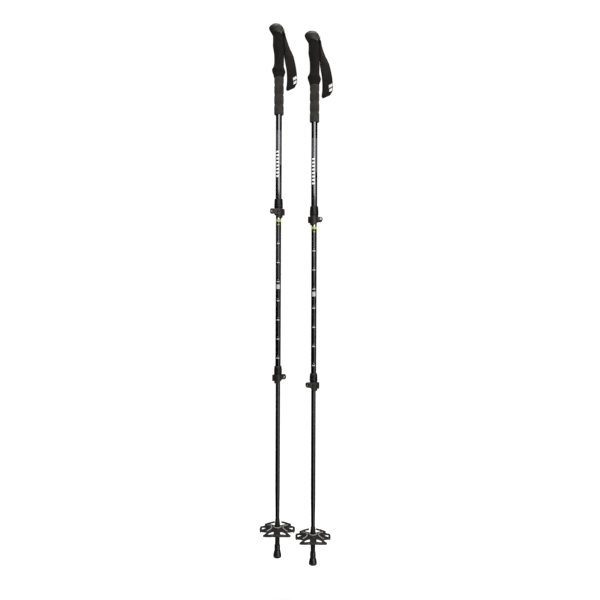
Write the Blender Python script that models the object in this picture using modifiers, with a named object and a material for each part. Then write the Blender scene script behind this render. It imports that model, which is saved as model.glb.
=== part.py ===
"""A pair of three-section trekking poles with lever locks, foam grips, straps, baskets and tip protectors.

Metres, +Z up the poles, -X the way the beaks of the grips point, -Y the front of the pair.
The origin is on the right pole's axis, at the middle of its foam grip, where a hand holds it.
Each pole is modelled standing on its own foot, with heights above that foot, and is then placed by an empty.
"""

import math

import bmesh
import bpy
from mathutils import Matrix, Vector

MM = 0.001

# ---- the pair ----
POLE_SPACING = 0.0935
LEFT_RISE = 0.019
HAND_HEIGHT = 1.310

# ---- heights above a pole's foot, in millimetres ----
SEAM_POINTS = [(-18.0, 1370.6), (-9.0, 1374.4), (0.5, 1371.4), (8.0, 1366.9), (15.0, 1366.8)]
GRIP_BOTTOM = 1259.3
EXTENSION_TOP = 1258.9
EXTENSION_BOTTOM = 1161.5
UPPER_TUBE_TOP = 1362.0
UPPER_LOCK = 907.3
LOWER_LOCK = 472.6
MIDDLE_TUBE_TOP = 960.0
LOWER_TUBE_TOP = 540.0
TAPER_TOP = 176.0
FERRULE_TOP = 100.0
LOWER_TUBE_BOTTOM = 62.0
HUB_TOP = 81.3
PROTECTOR_TOP = 33.2

# ---- tubes, in millimetres ----
UPPER_R = 8.0
MIDDLE_R = 7.0
LOWER_R = 6.0
TAPERED_R = 5.1
WALL = 0.75
FIT = 0.4

# ---- head, pocket and strap, in millimetres ----
POCKET_FRONT = 2.5
POCKET_HALF_WIDTH = 13.0
POCKET_FLOOR = 1366.0
POCKET_ROOF = 1382.3
STRAP_PIN = (6.5, 1372.5)
STRAP_PIN_R = 1.6
STRAP_WIDTH = 24.0
STRAP_THICKNESS = 1.5
STRAP_WRAP_R = 2.75

# ---- locks, in millimetres from the tube's axis and from the tension screw's height ----
EAR_R = 5.1
EAR_FRONT = 4.8
EAR_BACK = 5.6
TUBE_SEAT = 8.5
PIN_SETBACK = 10.0
PRONG_R = 4.6
PIN_R = 2.7
SCREW_R = 1.4
SCREW_HEAD_R = 3.1
LEVER_THICKNESS = 2.1

# ---- facets ----
SIDES = 16
GRIP_SIDES = 20
SMALL_SIDES = 10
MERGE = 0.00001

# ---- colours: base colour, roughness, metallic ----
LOOKS = {
    "anodised_black": ((0.012, 0.012, 0.014, 1), 0.22, 1.0),
    "cap_plastic": ((0.075, 0.072, 0.075, 1), 0.42, 0.0),
    "grip_foam": ((0.028, 0.027, 0.027, 1), 0.9, 0.0),
    "extension_foam": ((0.055, 0.052, 0.052, 1), 0.9, 0.0),
    "webbing": ((0.022, 0.022, 0.021, 1), 0.85, 0.0),
    "badge_rubber": ((0.6, 0.6, 0.6, 1), 0.6, 0.0),
    "light_plastic": ((0.3, 0.29, 0.29, 1), 0.45, 0.0),
    "lock_plastic": ((0.06, 0.058, 0.056, 1), 0.45, 0.0),
    "steel": ((0.62, 0.62, 0.64, 1), 0.25, 1.0),
    "inner_plastic": ((0.05, 0.05, 0.05, 1), 0.6, 0.0),
    "basket_plastic": ((0.05, 0.047, 0.045, 1), 0.5, 0.0),
    "ferrule_plastic": ((0.03, 0.03, 0.03, 1), 0.4, 0.0),
    "carbide": ((0.35, 0.35, 0.36, 1), 0.35, 1.0),
    "tip_rubber": ((0.02, 0.02, 0.02, 1), 0.4, 0.0),
}


# ---------------------------------------------------------------- scene and helpers


def clear_scene():
    for obj in list(bpy.data.objects):
        bpy.data.objects.remove(obj, do_unlink=True)


def new_collection(name):
    made = bpy.data.collections.new(name)
    bpy.context.scene.collection.children.link(made)
    return made


def look(name):
    """The Principled material called name in LOOKS."""
    if name in bpy.data.materials:
        return bpy.data.materials[name]
    colour, roughness, metallic = LOOKS[name]
    material = bpy.data.materials.new(name)
    material.use_nodes = True
    shader = material.node_tree.nodes["Principled BSDF"]
    shader.inputs["Base Color"].default_value = colour
    shader.inputs["Roughness"].default_value = roughness
    shader.inputs["Metallic"].default_value = metallic
    return material


class Builder:
    """Makes objects named with a pole's side, and parents them to an empty."""

    def __init__(self, side, parts, cutters, base=None, prefix=""):
        self.side = side
        self.parts = parts
        self.cutters = cutters
        self.prefix = prefix
        self.base = bpy.data.objects.new(f"{side}_{prefix or 'pole_'}frame", None)
        self.base.parent = base
        parts.objects.link(self.base)

    def inner(self, prefix, height, turn):
        """A builder whose empty is at a height on the pole's axis, in millimetres, and turned about it."""
        made = Builder(self.side, self.parts, self.cutters, self.base, prefix)
        made.base.location.z = height * MM
        made.base.rotation_euler.z = turn
        return made

    def add(self, name, mesh, material, pivot=(0, 0, 0)):
        """A part whose mesh is drawn round its pivot, a point in millimetres from the empty."""
        obj = bpy.data.objects.new(f"{self.side}_{self.prefix}{name}", mesh)
        self.parts.objects.link(obj)
        mesh.materials.append(look(material))
        obj.parent = self.base
        obj.location = Vector(pivot) * MM
        return obj

    def cutter(self, name, mesh):
        obj = bpy.data.objects.new(f"{self.side}_{self.prefix}{name}_cutter", mesh)
        self.cutters.objects.link(obj)
        obj.parent = self.base
        obj.hide_render = True
        obj.display_type = "WIRE"
        return obj


def combine(obj, tool, operation):
    """Add tool to obj, cut it away, or keep only what both hold."""
    step = obj.modifiers.new(f"{operation.title()} {tool.name}", "BOOLEAN")
    step.operation = operation
    step.object = tool
    step.solver = "EXACT"


def finished(mesh, bm):
    bmesh.ops.recalc_face_normals(bm, faces=bm.faces)
    bm.to_mesh(mesh)
    bm.free()
    return mesh


def profile_mesh(name, profile, axis="Z"):
    """The edges of an (r, height) profile in millimetres, closed unless it starts on the axis."""
    mesh = bpy.data.meshes.new(name)
    points = [(r * MM, 0, h * MM) if axis == "Z" else (r * MM, h * MM, 0) for r, h in profile]
    edges = [(i, i + 1) for i in range(len(points) - 1)]
    if profile[0][0] > 0:
        edges.append((len(points) - 1, 0))
    mesh.from_pydata(points, edges, [])
    return mesh


def turn(obj, sides=SIDES, axis="Z"):
    """Turn a profile all the way round its axis."""
    step = obj.modifiers.new("Turn", "SCREW")
    step.axis = axis
    step.steps = sides
    step.render_steps = sides
    step.use_merge_vertices = True
    step.merge_threshold = MERGE
    return obj


def skinned_mesh(name, rings, closed=False):
    """A skin over rings of points in millimetres. The ends are fans, or the last ring meets the first."""
    bm = bmesh.new()
    rows = [[bm.verts.new(Vector(p) * MM) for p in ring] for ring in rings]
    pairs = list(zip(rows, rows[1:]))
    if closed:
        pairs.append((rows[-1], rows[0]))
    for upper, lower in pairs:
        for i in range(len(upper)):
            j = (i + 1) % len(upper)
            bm.faces.new((upper[i], upper[j], lower[j], lower[i]))
    if not closed:
        for row in (rows[0], rows[-1]):
            middle = sum((v.co for v in row), Vector()) / len(row)
            centre = bm.verts.new(middle)
            for i in range(len(row)):
                bm.faces.new((centre, row[i], row[(i + 1) % len(row)]))
    return finished(bpy.data.meshes.new(name), bm)


def box_mesh(name, low, high):
    """A box between two corners, in millimetres."""
    bm = bmesh.new()
    bmesh.ops.create_cube(bm, size=1.0)
    size = Vector(high) - Vector(low)
    middle = (Vector(high) + Vector(low)) / 2
    bmesh.ops.scale(bm, vec=size * MM, verts=bm.verts)
    bmesh.ops.translate(bm, vec=middle * MM, verts=bm.verts)
    return finished(bpy.data.meshes.new(name), bm)


def rod_mesh(name, radius, start, end, sides=SMALL_SIDES):
    """A cylinder between two points, in millimetres."""
    start, end = Vector(start), Vector(end)
    bm = bmesh.new()
    length = (end - start).length
    bmesh.ops.create_cone(
        bm, cap_ends=True, segments=sides, radius1=radius * MM, radius2=radius * MM, depth=length * MM
    )
    aim = (end - start).to_track_quat("Z", "Y").to_matrix().to_4x4()
    bmesh.ops.transform(bm, matrix=Matrix.Translation((start + end) / 2 * MM) @ aim, verts=bm.verts)
    return finished(bpy.data.meshes.new(name), bm)


def slab_mesh(name, outlines, low, high, facing="Z"):
    """Flat outlines in millimetres, the outer one first and then its holes, filled from low to high.

    facing Z takes (x, y) outlines, and facing Y takes (x, z) outlines and runs from y low to y high.
    """
    curve = bpy.data.curves.new(name, "CURVE")
    curve.dimensions = "2D"
    curve.fill_mode = "BOTH"
    curve.extrude = (high - low) / 2 * MM
    for outline in outlines:
        spline = curve.splines.new("POLY")
        spline.points.add(len(outline) - 1)
        for point, (x, y) in zip(spline.points, outline):
            point.co = (x * MM, y * MM, 0, 1)
        spline.use_cyclic_u = True
    holder = bpy.data.objects.new(name, curve)
    bpy.context.scene.collection.objects.link(holder)
    bpy.context.view_layer.update()
    mesh = bpy.data.meshes.new_from_object(holder.evaluated_get(bpy.context.evaluated_depsgraph_get()))
    bpy.data.objects.remove(holder, do_unlink=True)
    bm = bmesh.new()
    bm.from_mesh(mesh)
    bmesh.ops.remove_doubles(bm, verts=bm.verts, dist=MERGE)
    bmesh.ops.translate(bm, vec=(0, 0, (high + low) / 2 * MM), verts=bm.verts)
    if facing == "Y":
        bmesh.ops.rotate(bm, matrix=Matrix.Rotation(math.pi / 2, 3, "X"), verts=bm.verts)
        bmesh.ops.translate(bm, vec=(0, (high + low) * MM, 0), verts=bm.verts)
    return finished(mesh, bm)


def arc(centre, radius, start, end, count):
    """Points along an arc, in degrees from +X, both ends included."""
    angles = [math.radians(start + (end - start) * i / (count - 1)) for i in range(count)]
    return [(centre[0] + radius * math.cos(a), centre[1] + radius * math.sin(a)) for a in angles]


def along(points, x):
    """The height of a smooth curve through (x, height) points."""
    if x <= points[0][0]:
        return points[0][1]
    for (x0, y0), (x1, y1) in zip(points, points[1:]):
        if x <= x1:
            t = (x - x0) / (x1 - x0)
            return y0 + (y1 - y0) * t * t * (3 - 2 * t)
    return points[-1][1]


def oval(height, x_low, x_high, half_width, power=2.4, sides=GRIP_SIDES):
    """A ring of points round a rounded-square outline; height is a number, or a function of x."""
    middle = (x_low + x_high) / 2 if x_low * x_high > 0 else 0.0
    ring = []
    for i in range(sides):
        a = 2 * math.pi * i / sides
        c, s = math.cos(a), math.sin(a)
        reach = x_high - middle if c > 0 else middle - x_low
        x = middle + math.copysign(abs(c) ** (2 / power) * reach, c)
        y = math.copysign(abs(s) ** (2 / power) * half_width, s)
        ring.append((x, y, height(x) if callable(height) else height))
    return ring


# ---------------------------------------------------------------- grip and head


def seam(x):
    """The height of the joint between the foam grip and the head cap, at x."""
    return along(SEAM_POINTS, x)


def pocket_cutter(pole):
    """The strap's pocket, open to the rear, cut from the cap and the top of the foam alike."""
    low = (POCKET_FRONT, -POCKET_HALF_WIDTH, POCKET_FLOOR)
    high = (30, POCKET_HALF_WIDTH, POCKET_ROOF)
    return pole.cutter("pocket", box_mesh("pocket", low, high))


def make_head_cap(pole, pocket):
    """The moulded cap: a dome that leans forward into a beak, on the foam's seam."""

    def under(x):
        return seam(x) + FIT

    rings = [
        oval(under, -3.0, 3.0, 3.0),
        oval(under, -8.4, 8.4, 8.4, 2),
        oval(under, -16.8, 11.5, 13.6),
        oval(under, -18.0, 14.6, 15.2),
        oval(1376.4, -20.8, 14.4, 15.8),
        oval(1381.6, -24.2, 13.7, 16.2),
        oval(1385.2, -26.0, 12.4, 16.5),
        oval(1389.9, -26.7, 9.9, 15.6),
        oval(1395.0, -22.9, 4.6, 12.2, 2.2),
        oval(1398.6, -17.5, -0.8, 7.6, 2),
        oval(1400.0, -13.0, -5.0, 3.2, 2),
    ]
    cap = pole.add("head_cap", skinned_mesh("head_cap", rings), "cap_plastic")
    combine(cap, pocket, "DIFFERENCE")
    x, z = STRAP_PIN
    pin_hole = pole.cutter("pin_hole", rod_mesh("pin_hole", STRAP_PIN_R + FIT, (x, -20, z), (x, 20, z)))
    combine(cap, pin_hole, "DIFFERENCE")
    socket = pole.cutter("head_socket", rod_mesh("head_socket", 6.4, (0, 0, 1362), (0, 0, 1384.7), SIDES))
    combine(cap, socket, "DIFFERENCE")


def make_head_plug(pole):
    """The core that joins the tube to the cap, with a stem cut flat in front of the pocket."""
    profile = [(0, 1384.2), (6.0, 1384.2), (6.0, 1365.2), (7.9, 1365.2)]
    profile += [(7.9, 1362.4), (6.9, 1362.4), (6.9, 1352.0), (0, 1352.0)]
    plug = turn(pole.add("head_plug", profile_mesh("head_plug", profile), "inner_plastic"))
    flat = pole.cutter("plug_flat", box_mesh("plug_flat", (POCKET_FRONT - 0.5, -9, 1365.6), (9, 9, 1390)))
    combine(plug, flat, "DIFFERENCE")


def make_grip_foam(pole, pocket):
    """The upper foam grip, with a palm ledge at its bottom."""
    outline = [
        (1358.0, -16.4, 13.4, 14.6),
        (1342.6, -16.8, 13.5, 14.6),
        (1332.0, -15.1, 13.4, 14.2),
        (1320.0, -13.1, 13.2, 13.8),
        (1295.0, -13.1, 12.8, 13.4),
        (1287.0, -14.8, 12.9, 13.8),
        (1279.6, -18.7, 15.2, 15.6),
        (1274.0, -17.8, 16.8, 16.0),
        (1268.0, -15.6, 15.0, 14.6),
        (GRIP_BOTTOM, -13.9, 12.3, 13.0),
    ]
    rings = [oval(seam, -16.8, 11.5, 13.6)]
    rings += [oval(*row) for row in outline]
    rings += [oval(GRIP_BOTTOM, -8.4, 8.4, 8.4, 2), oval(seam, -8.4, 8.4, 8.4, 2)]
    foam = pole.add("grip_foam", skinned_mesh("grip_foam", rings, closed=True), "grip_foam")
    combine(foam, pocket, "DIFFERENCE")


def make_grip_extension(pole):
    """The ribbed foam sleeve below the grip."""
    wide, narrow, period = 12.6, 11.5, 26.4
    first_groove = 1240.0
    profile = [(11.9, EXTENSION_TOP), (wide, EXTENSION_TOP - 5)]
    for rib in range(3):
        groove = first_groove - rib * period
        profile += [(wide, groove + 6), (narrow, groove), (wide, groove - 6)]
    profile += [(wide, EXTENSION_BOTTOM + 3), (11.8, EXTENSION_BOTTOM)]
    profile += [(8.4, EXTENSION_BOTTOM), (8.4, EXTENSION_TOP)]
    turn(pole.add("grip_extension", profile_mesh("grip_extension", profile), "extension_foam"), GRIP_SIDES)


def make_strap_pin(pole):
    """The cross pin that the strap loops round, between the cap's side walls."""
    x, z = STRAP_PIN
    mesh = rod_mesh("strap_pin", STRAP_PIN_R, (0, -15.6, 0), (0, 15.6, 0))
    pole.add("strap_pin", mesh, "light_plastic", pivot=(x, 0, z))


def make_strap_wedge(pole):
    """The wedge over the strap that locks its length, thicker towards the mouth of the pocket."""
    outline = [(4.5, 1379.3), (12.6, 1376.9), (14.6, 1378.4), (13.6, 1381.9), (4.5, 1381.9)]
    mesh = slab_mesh("strap_wedge", [outline], -12.4, 12.4, facing="Y")
    pole.add("strap_wedge", mesh, "light_plastic")


# ---------------------------------------------------------------- strap


STRAP_SPINE = [
    (6.5, 1372.5),
    (10.5, 1372.3),
    (14.0, 1370.6),
    (16.0, 1366.8),
    (16.7, 1360.0),
    (17.9, 1350.0),
    (20.5, 1337.5),
    (24.2, 1321.0),
    (27.2, 1306.0),
    (31.2, 1286.0),
    (33.3, 1268.0),
    (33.8, 1250.0),
    (32.8, 1236.0),
]
# along the strap from the pin, 0, to the start of the fold at its end, 1
STRAP_TWIST = [
    (0.0, 0.0),
    (0.17, 0.0),
    (0.25, 5.0),
    (0.33, 14.0),
    (0.42, 24.0),
    (0.5, 33.0),
    (0.58, 55.0),
    (0.67, 84.0),
    (0.75, 90.0),
]
STRAP_GAP = [
    (0.0, 5.5),
    (0.06, 5.3),
    (0.17, 2.1),
    (0.42, 2.2),
    (0.56, 3.2),
    (0.63, 6.5),
    (0.8, 19.0),
    (1.0, 14.0),
]
STRAP_SKEW = [(0.6, 0.0), (1.0, 2.0)]
STRAP_TILT = [(0.72, 0.0), (1.0, 0.55)]
STRAP_FOLD_DEPTH = 7.0
STRAP_FOLD_NARROWING = 0.3
STRAP_STATIONS = 15


def spine_at(t):
    """A point of the strap's middle line and its direction, by a Catmull-Rom curve through STRAP_SPINE."""
    last = len(STRAP_SPINE) - 1
    i = min(int(t * last), last - 1)
    s = t * last - i
    picks = [STRAP_SPINE[max(0, min(last, i + k))] for k in (-1, 0, 1, 2)]
    a, b, c, d = [Vector((x, 0, z)) for x, z in picks]
    point = 0.5 * (2 * b + (c - a) * s + (2 * a - 5 * b + 4 * c - d) * s**2 + (3 * b - a - 3 * c + d) * s**3)
    slope = 0.5 * ((c - a) + 2 * (2 * a - 5 * b + 4 * c - d) * s + 3 * (3 * b - a - 3 * c + d) * s**2)
    return point, slope.normalized()


def strap_frame(t):
    """The middle line's point and direction, the way across the two layers, and the way along the width."""
    point, ahead = spine_at(t)
    square = Vector((-ahead.z, 0, ahead.x))
    side = Vector((0, 1, 0))
    twist = math.radians(along(STRAP_TWIST, t))
    across = square * math.cos(twist) - side * math.sin(twist)
    width = square * math.sin(twist) + side * math.cos(twist)
    return point, ahead, across, width


def strap_leg(t, layer):
    """Centre, direction across and direction of width of one layer of the strap: layer is 1 or -1."""
    point, ahead, across, width = strap_frame(t)
    centre = point + across * layer * along(STRAP_GAP, t) / 2 + width * layer * along(STRAP_SKEW, t)
    return centre, across * layer, width - ahead * along(STRAP_TILT, t)


def ribbon_ring(centre, across, width, half_width, half_thickness):
    corners = [(1, 1), (-1, 1), (-1, -1), (1, -1)]
    return [centre + width * a * half_width + across * b * half_thickness for a, b in corners]


def strap_path():
    """The closed path of the webbing: down one layer, round the fold, up the other and round the pin."""
    stations = [strap_leg(i / STRAP_STATIONS, 1) for i in range(STRAP_STATIONS + 1)]
    point, ahead, across, width = strap_frame(1.0)
    half_gap = along(STRAP_GAP, 1.0) / 2
    skew = along(STRAP_SKEW, 1.0)
    for degrees in (30, 60, 90, 120, 150):
        a = math.radians(degrees)
        sideways = (across * half_gap + width * skew) * math.cos(a)
        centre = point + ahead * STRAP_FOLD_DEPTH * math.sin(a) + sideways
        out = (across * math.cos(a) * STRAP_FOLD_DEPTH + ahead * math.sin(a) * half_gap).normalized()
        narrowing = 1 - STRAP_FOLD_NARROWING * math.sin(a)
        stations.append((centre, out, (width - ahead * along(STRAP_TILT, 1.0)) * narrowing))
    stations += [strap_leg(i / STRAP_STATIONS, -1) for i in range(STRAP_STATIONS, -1, -1)]
    point, ahead, across, width = strap_frame(0.0)
    for degrees in (-60, -30, 0, 30, 60):
        a = math.radians(degrees)
        out = across * math.sin(a) - ahead * math.cos(a)
        stations.append((point + out * STRAP_WRAP_R, out, width))
    return stations


def make_strap(pole):
    """The wrist strap: one closed band of webbing, with a quarter turn between the pin and the hand loop."""
    rings = [ribbon_ring(c, n, w, STRAP_WIDTH / 2, STRAP_THICKNESS / 2) for c, n, w in strap_path()]
    pivot = Vector((STRAP_PIN[0], 0, STRAP_PIN[1]))
    rings = [[p - pivot for p in ring] for ring in rings]
    pole.add("strap", skinned_mesh("strap", rings, closed=True), "webbing", pivot=pivot)


def make_strap_badge(pole):
    """A rubber badge on the front layer of the strap, near the fold."""
    rings = []
    lift = STRAP_THICKNESS / 2 + 0.85
    for t in (0.89, 0.925, 0.96, 0.995):
        centre, across, width = strap_leg(t, 1)
        rings.append(ribbon_ring(centre + across * lift + width * 6.4, across, width, 5.0, 0.5))
    pivot = Vector((STRAP_PIN[0], 0, STRAP_PIN[1]))
    rings = [[p - pivot for p in ring] for ring in rings]
    pole.add("strap_badge", skinned_mesh("strap_badge", rings), "badge_rubber", pivot=pivot)


# ---------------------------------------------------------------- tubes


def tube_profile(top, bottom, radius):
    return [(radius, top), (radius, bottom), (radius - WALL, bottom), (radius - WALL, top)]


def make_tubes(pole):
    upper = tube_profile(UPPER_TUBE_TOP, UPPER_LOCK + TUBE_SEAT, UPPER_R)
    middle = tube_profile(MIDDLE_TUBE_TOP, LOWER_LOCK + TUBE_SEAT, MIDDLE_R)
    outer = [(LOWER_R, LOWER_TUBE_TOP), (LOWER_R, TAPER_TOP)]
    outer += [(TAPERED_R, FERRULE_TOP), (TAPERED_R, LOWER_TUBE_BOTTOM)]
    lower = outer + [(r - WALL, z) for r, z in reversed(outer)]
    for name, profile in (("upper_tube", upper), ("middle_tube", middle), ("lower_tube", lower)):
        turn(pole.add(name, profile_mesh(name, profile), "anodised_black"))


def make_guides(pole):
    """The plugs in the top ends of the two inner tubes, which centre them in the tube around them."""
    guides = [("middle_guide", MIDDLE_TUBE_TOP, MIDDLE_R), ("lower_guide", LOWER_TUBE_TOP, LOWER_R)]
    for name, top, radius in guides:
        bore = radius - WALL
        profile = [
            (radius + 0.06, top + 3.0),
            (radius + 0.06, top + 0.4),
            (bore - 0.35, top + 0.4),
            (bore - 0.35, top - 9.0),
            (bore - 2.0, top - 9.0),
            (bore - 2.0, top + 3.0),
        ]
        turn(pole.add(name, profile_mesh(name, profile), "inner_plastic"))


# ---------------------------------------------------------------- locks


class Lock:
    """The sizes of one lever lock, drawn round its tension screw's height, ears at -X and lever in front."""

    def __init__(self, outer_r, inner_r, sleeve):
        self.outer_r = outer_r
        self.inner_r = inner_r
        self.sleeve = sleeve
        self.ear = inner_r + 10.3
        self.band_r = inner_r + 3.9
        self.pin = (-self.ear, -PIN_SETBACK, 0)


def make_clamp(frame, lock):
    """The moulded clamp: a sleeve over the outer tube's end, and a split band with two ears."""
    base, top = lock.outer_r, lock.sleeve
    outside = [
        (base + 2.0, top),
        (base + 2.8, top - 3.0),
        (base + 3.4, 17.0),
        (base + 2.8, 15.6),
        (base + 3.6, 14.2),
        (base + 3.6, 11.6),
        (base + 2.8, 9.4),
        (base + 2.8, 7.9),
        (lock.band_r, 7.0),
        (lock.band_r, -18.0),
    ]
    bore = lock.outer_r + FIT
    waist = lock.inner_r + FIT
    inside = [(waist, -18.0), (waist, TUBE_SEAT - 0.4), (bore, TUBE_SEAT - 0.4), (bore, top)]
    clamp = turn(frame.add("clamp", profile_mesh("clamp", outside + inside), "lock_plastic"))
    web_half = EAR_R - 0.05
    web = box_mesh("web", (-lock.ear, -EAR_FRONT, -web_half), (-lock.inner_r - 1.5, EAR_BACK, web_half))
    combine(clamp, frame.cutter("web", web), "UNION")
    boss = rod_mesh("boss", EAR_R, (-lock.ear, -EAR_FRONT, 0), (-lock.ear, EAR_BACK, 0), SIDES)
    combine(clamp, frame.cutter("boss", boss), "UNION")
    low_edge = [(-30, -7.2), (-10.5, -7.2), (0.5, -16.2), (7.0, -16.2), (14, -13.5), (30, -13.5)]
    edge = low_edge + [(30, 60), (-30, 60)]
    combine(clamp, frame.cutter("edge", slab_mesh("edge", [edge], -30, 30, facing="Y")), "INTERSECT")
    slit = box_mesh("slit", (-30, -0.9, -30), (-4, 0.9, 7.4))
    combine(clamp, frame.cutter("slit", slit), "DIFFERENCE")
    relief = box_mesh("relief", (-30, -30, 6.6), (-1.5, 30, 7.4))
    combine(clamp, frame.cutter("relief", relief), "DIFFERENCE")
    hole = rod_mesh("screw_hole", SCREW_R + FIT, (-lock.ear, -20, 0), (-lock.ear, 20, 0))
    combine(clamp, frame.cutter("screw_hole", hole), "DIFFERENCE")
    seat = rod_mesh("screw_seat", SCREW_HEAD_R + FIT, (-lock.ear, 3.2, 0), (-lock.ear, 20, 0), SIDES)
    combine(clamp, frame.cutter("screw_seat", seat), "DIFFERENCE")


def lever_outline(lock):
    """The lever from above: a prong disc, an arm round the front of the band, and a flared finger tab."""
    inner = lock.band_r + 0.4
    outer = inner + LEVER_THICKNESS
    prong = arc(lock.pin, PRONG_R, 20, 270, 11)
    front = arc((0, 0), outer, 258, 338, 8)
    tab = [(outer + 1.4, -3.9), (outer + 3.0, -1.6), (outer + 2.6, 0.6), (outer + 0.8, -0.6)]
    back = arc((0, 0), inner, 350, 236, 11)
    return prong + front + tab + back


def make_lever(frame, lock):
    """The cam lever, forked round the tension screw, with a window in its arm and its origin on its pin."""
    mesh = slab_mesh("lever", [lever_outline(lock)], -12, 6.6)
    mesh.transform(Matrix.Translation(-Vector(lock.pin) * MM))
    lever = frame.add("lever", mesh, "lock_plastic", pivot=lock.pin)
    tip = lock.band_r + 6.5
    end = -lock.ear - PRONG_R - 0.3
    high_edge = [(end, 3.6), (end + 3.4, 7), (tip - 4, 7), (tip, 4.6), (tip + 9, 4.6)]
    edge = high_edge + [(tip + 9, -9.0), (5, -11.4), (-12.6, -6.7), (end + 3.4, -6.7), (end, -3.3)]
    keep = slab_mesh("lever_edge", [edge], -30, 30, facing="Y")
    combine(lever, frame.cutter("lever_edge", keep), "INTERSECT")
    fork = box_mesh("fork", (-30, -30, -2.6), (5.0 - lock.ear, 0, 2.6))
    combine(lever, frame.cutter("fork", fork), "DIFFERENCE")
    window = box_mesh("window", (-4.6, -20, -4.6), (3.4, -lock.inner_r, -1.7))
    combine(lever, frame.cutter("window", window), "DIFFERENCE")
    hole = rod_mesh("lever_hole", PIN_R + 0.3, (-lock.ear, -PIN_SETBACK, -20), (-lock.ear, -PIN_SETBACK, 20))
    combine(lever, frame.cutter("lever_hole", hole), "DIFFERENCE")


def make_lever_pin(frame, lock):
    """The barrel pin that the lever turns on, cross-drilled for the tension screw."""
    mesh = rod_mesh("lever_pin", PIN_R, (0, 0, -6.4), (0, 0, 6.3))
    pin = frame.add("lever_pin", mesh, "steel", pivot=lock.pin)
    drilled = rod_mesh("pin_drilling", SCREW_R + 0.3, (-lock.ear, -20, 0), (-lock.ear, 0, 0))
    combine(pin, frame.cutter("pin_drilling", drilled), "DIFFERENCE")


def make_screw(frame, lock):
    """The tension screw through the ears, its socket head at the back and its end in the barrel pin."""
    profile = [
        (0, 5.2),
        (1.3, 5.2),
        (1.3, 6.3),
        (2.6, 6.3),
        (SCREW_HEAD_R, 5.8),
        (SCREW_HEAD_R, 3.6),
        (SCREW_R, 3.6),
        (SCREW_R, -12.4),
        (0, -12.4),
    ]
    screw = frame.add("screw", profile_mesh("screw", profile, "Y"), "steel", pivot=(-lock.ear, 0, 0))
    turn(screw, SMALL_SIDES, "Y")


def make_lock(frame, lock):
    make_clamp(frame, lock)
    make_lever(frame, lock)
    make_lever_pin(frame, lock)
    make_screw(frame, lock)


# ---------------------------------------------------------------- basket and tip


RIM_SIDE = 46.2
SIDE_CORNER = (44.0, 16.3)
BROAD_CORNER = (35.4, 37.8)
RIM_BROAD = 48.4
LIP_WIDTH = 2.2
LIP_HEIGHT = 4.4


def rim_arc(start, peak, end, count, inset=0.0):
    """Points on the circle through start, peak and end, moved towards its centre by inset."""
    (ax, ay), (bx, by), (cx, cy) = start, peak, end
    d = 2 * (ax * (by - cy) + bx * (cy - ay) + cx * (ay - by))
    a2, b2, c2 = ax * ax + ay * ay, bx * bx + by * by, cx * cx + cy * cy
    centre = (
        (a2 * (by - cy) + b2 * (cy - ay) + c2 * (ay - by)) / d,
        (a2 * (cx - bx) + b2 * (ax - cx) + c2 * (bx - ax)) / d,
    )
    radius = math.dist(centre, start) - inset
    first = math.degrees(math.atan2(ay - centre[1], ax - centre[0]))
    last = math.degrees(math.atan2(cy - centre[1], cx - centre[0]))
    return arc(centre, radius, first, last, count)


def mirrored(points):
    """The same points with x reversed, in the opposite order."""
    return [(-x, y) for x, y in reversed(points)]


def flipped(points):
    """The same points with y reversed, in the opposite order."""
    return [(x, -y) for x, y in reversed(points)]


def side_rim(inset=0.0):
    """The rim of the lobe at +X, from front to back."""
    x, y = SIDE_CORNER
    return rim_arc((x, -y), (RIM_SIDE, 0), (x, y), 4, inset)


def horn_rim(inset=0.0):
    """The rim of the rear claw's horn at +X, from its corner to where its hook starts."""
    x, y = BROAD_CORNER
    return rim_arc((x, y), (0, RIM_BROAD), (-x, y), 9, inset)[:4]


def basket_outlines():
    """The basket from above: four lobes, the rear one a claw with hooked horns, and four windows."""
    hook = [(10.6, 47.0), (9.2, 43.4), (10.8, 41.2), (13.0, 43.0)]
    claw = horn_rim() + hook + [(20.5, 40.6), (27.0, 36.2), (21.0, 29.0), (13.5, 20.0), (6.0, 14.0)]
    x, y = BROAD_CORNER
    front = rim_arc((0, -RIM_BROAD), (24.0, -43.6), (x, -y), 4)
    notch = [(24.8, 25.2), (23.0, 22.6)]
    half = front + flipped(notch) + side_rim() + notch + claw
    outer = half + mirrored(half)[:-1]
    side_window = [(39.6, -8.0), (41.2, 0), (39.6, 8.0), (29.5, 2.0), (29.5, -2.0)]
    front_window = [(8.6, -40.5), (20.5, -39.0), (26.0, -35.8), (17.5, -27.6), (12.0, -25.4), (8.6, -25.2)]
    return [outer, side_window, mirrored(side_window), front_window, mirrored(front_window)]


def dome_height(x, y):
    """The height of the basket's upper surface: a shallow dome whose rim droops at the lobes' corners."""
    r = math.hypot(x, y)
    far = (r / RIM_BROAD) ** 2
    broad = y * y / (r * r) if r else 0.0
    corner = 4 * x * x * y * y / r**4 if r else 0.0
    return HUB_TOP - 1.8 - 4.7 * far**0.75 + far * (1.5 * broad - 2.6 * corner)


def domed(mesh):
    """Bend a flat mesh, made round height 0, over the dome."""
    for v in mesh.vertices:
        v.co.z += dome_height(v.co.x / MM, v.co.y / MM) * MM
    return mesh


def rim_outlines():
    """The five stretches of rim that carry the lip."""
    right = side_rim() + side_rim(LIP_WIDTH)[::-1]
    x, y = BROAD_CORNER
    front = rim_arc((-x, -y), (0, -RIM_BROAD), (x, -y), 7)
    front_in = rim_arc((-x, -y), (0, -RIM_BROAD), (x, -y), 7, LIP_WIDTH)
    back = horn_rim() + horn_rim(LIP_WIDTH)[::-1]
    return [right, mirrored(right), front + front_in[::-1], back, mirrored(back)]


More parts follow.
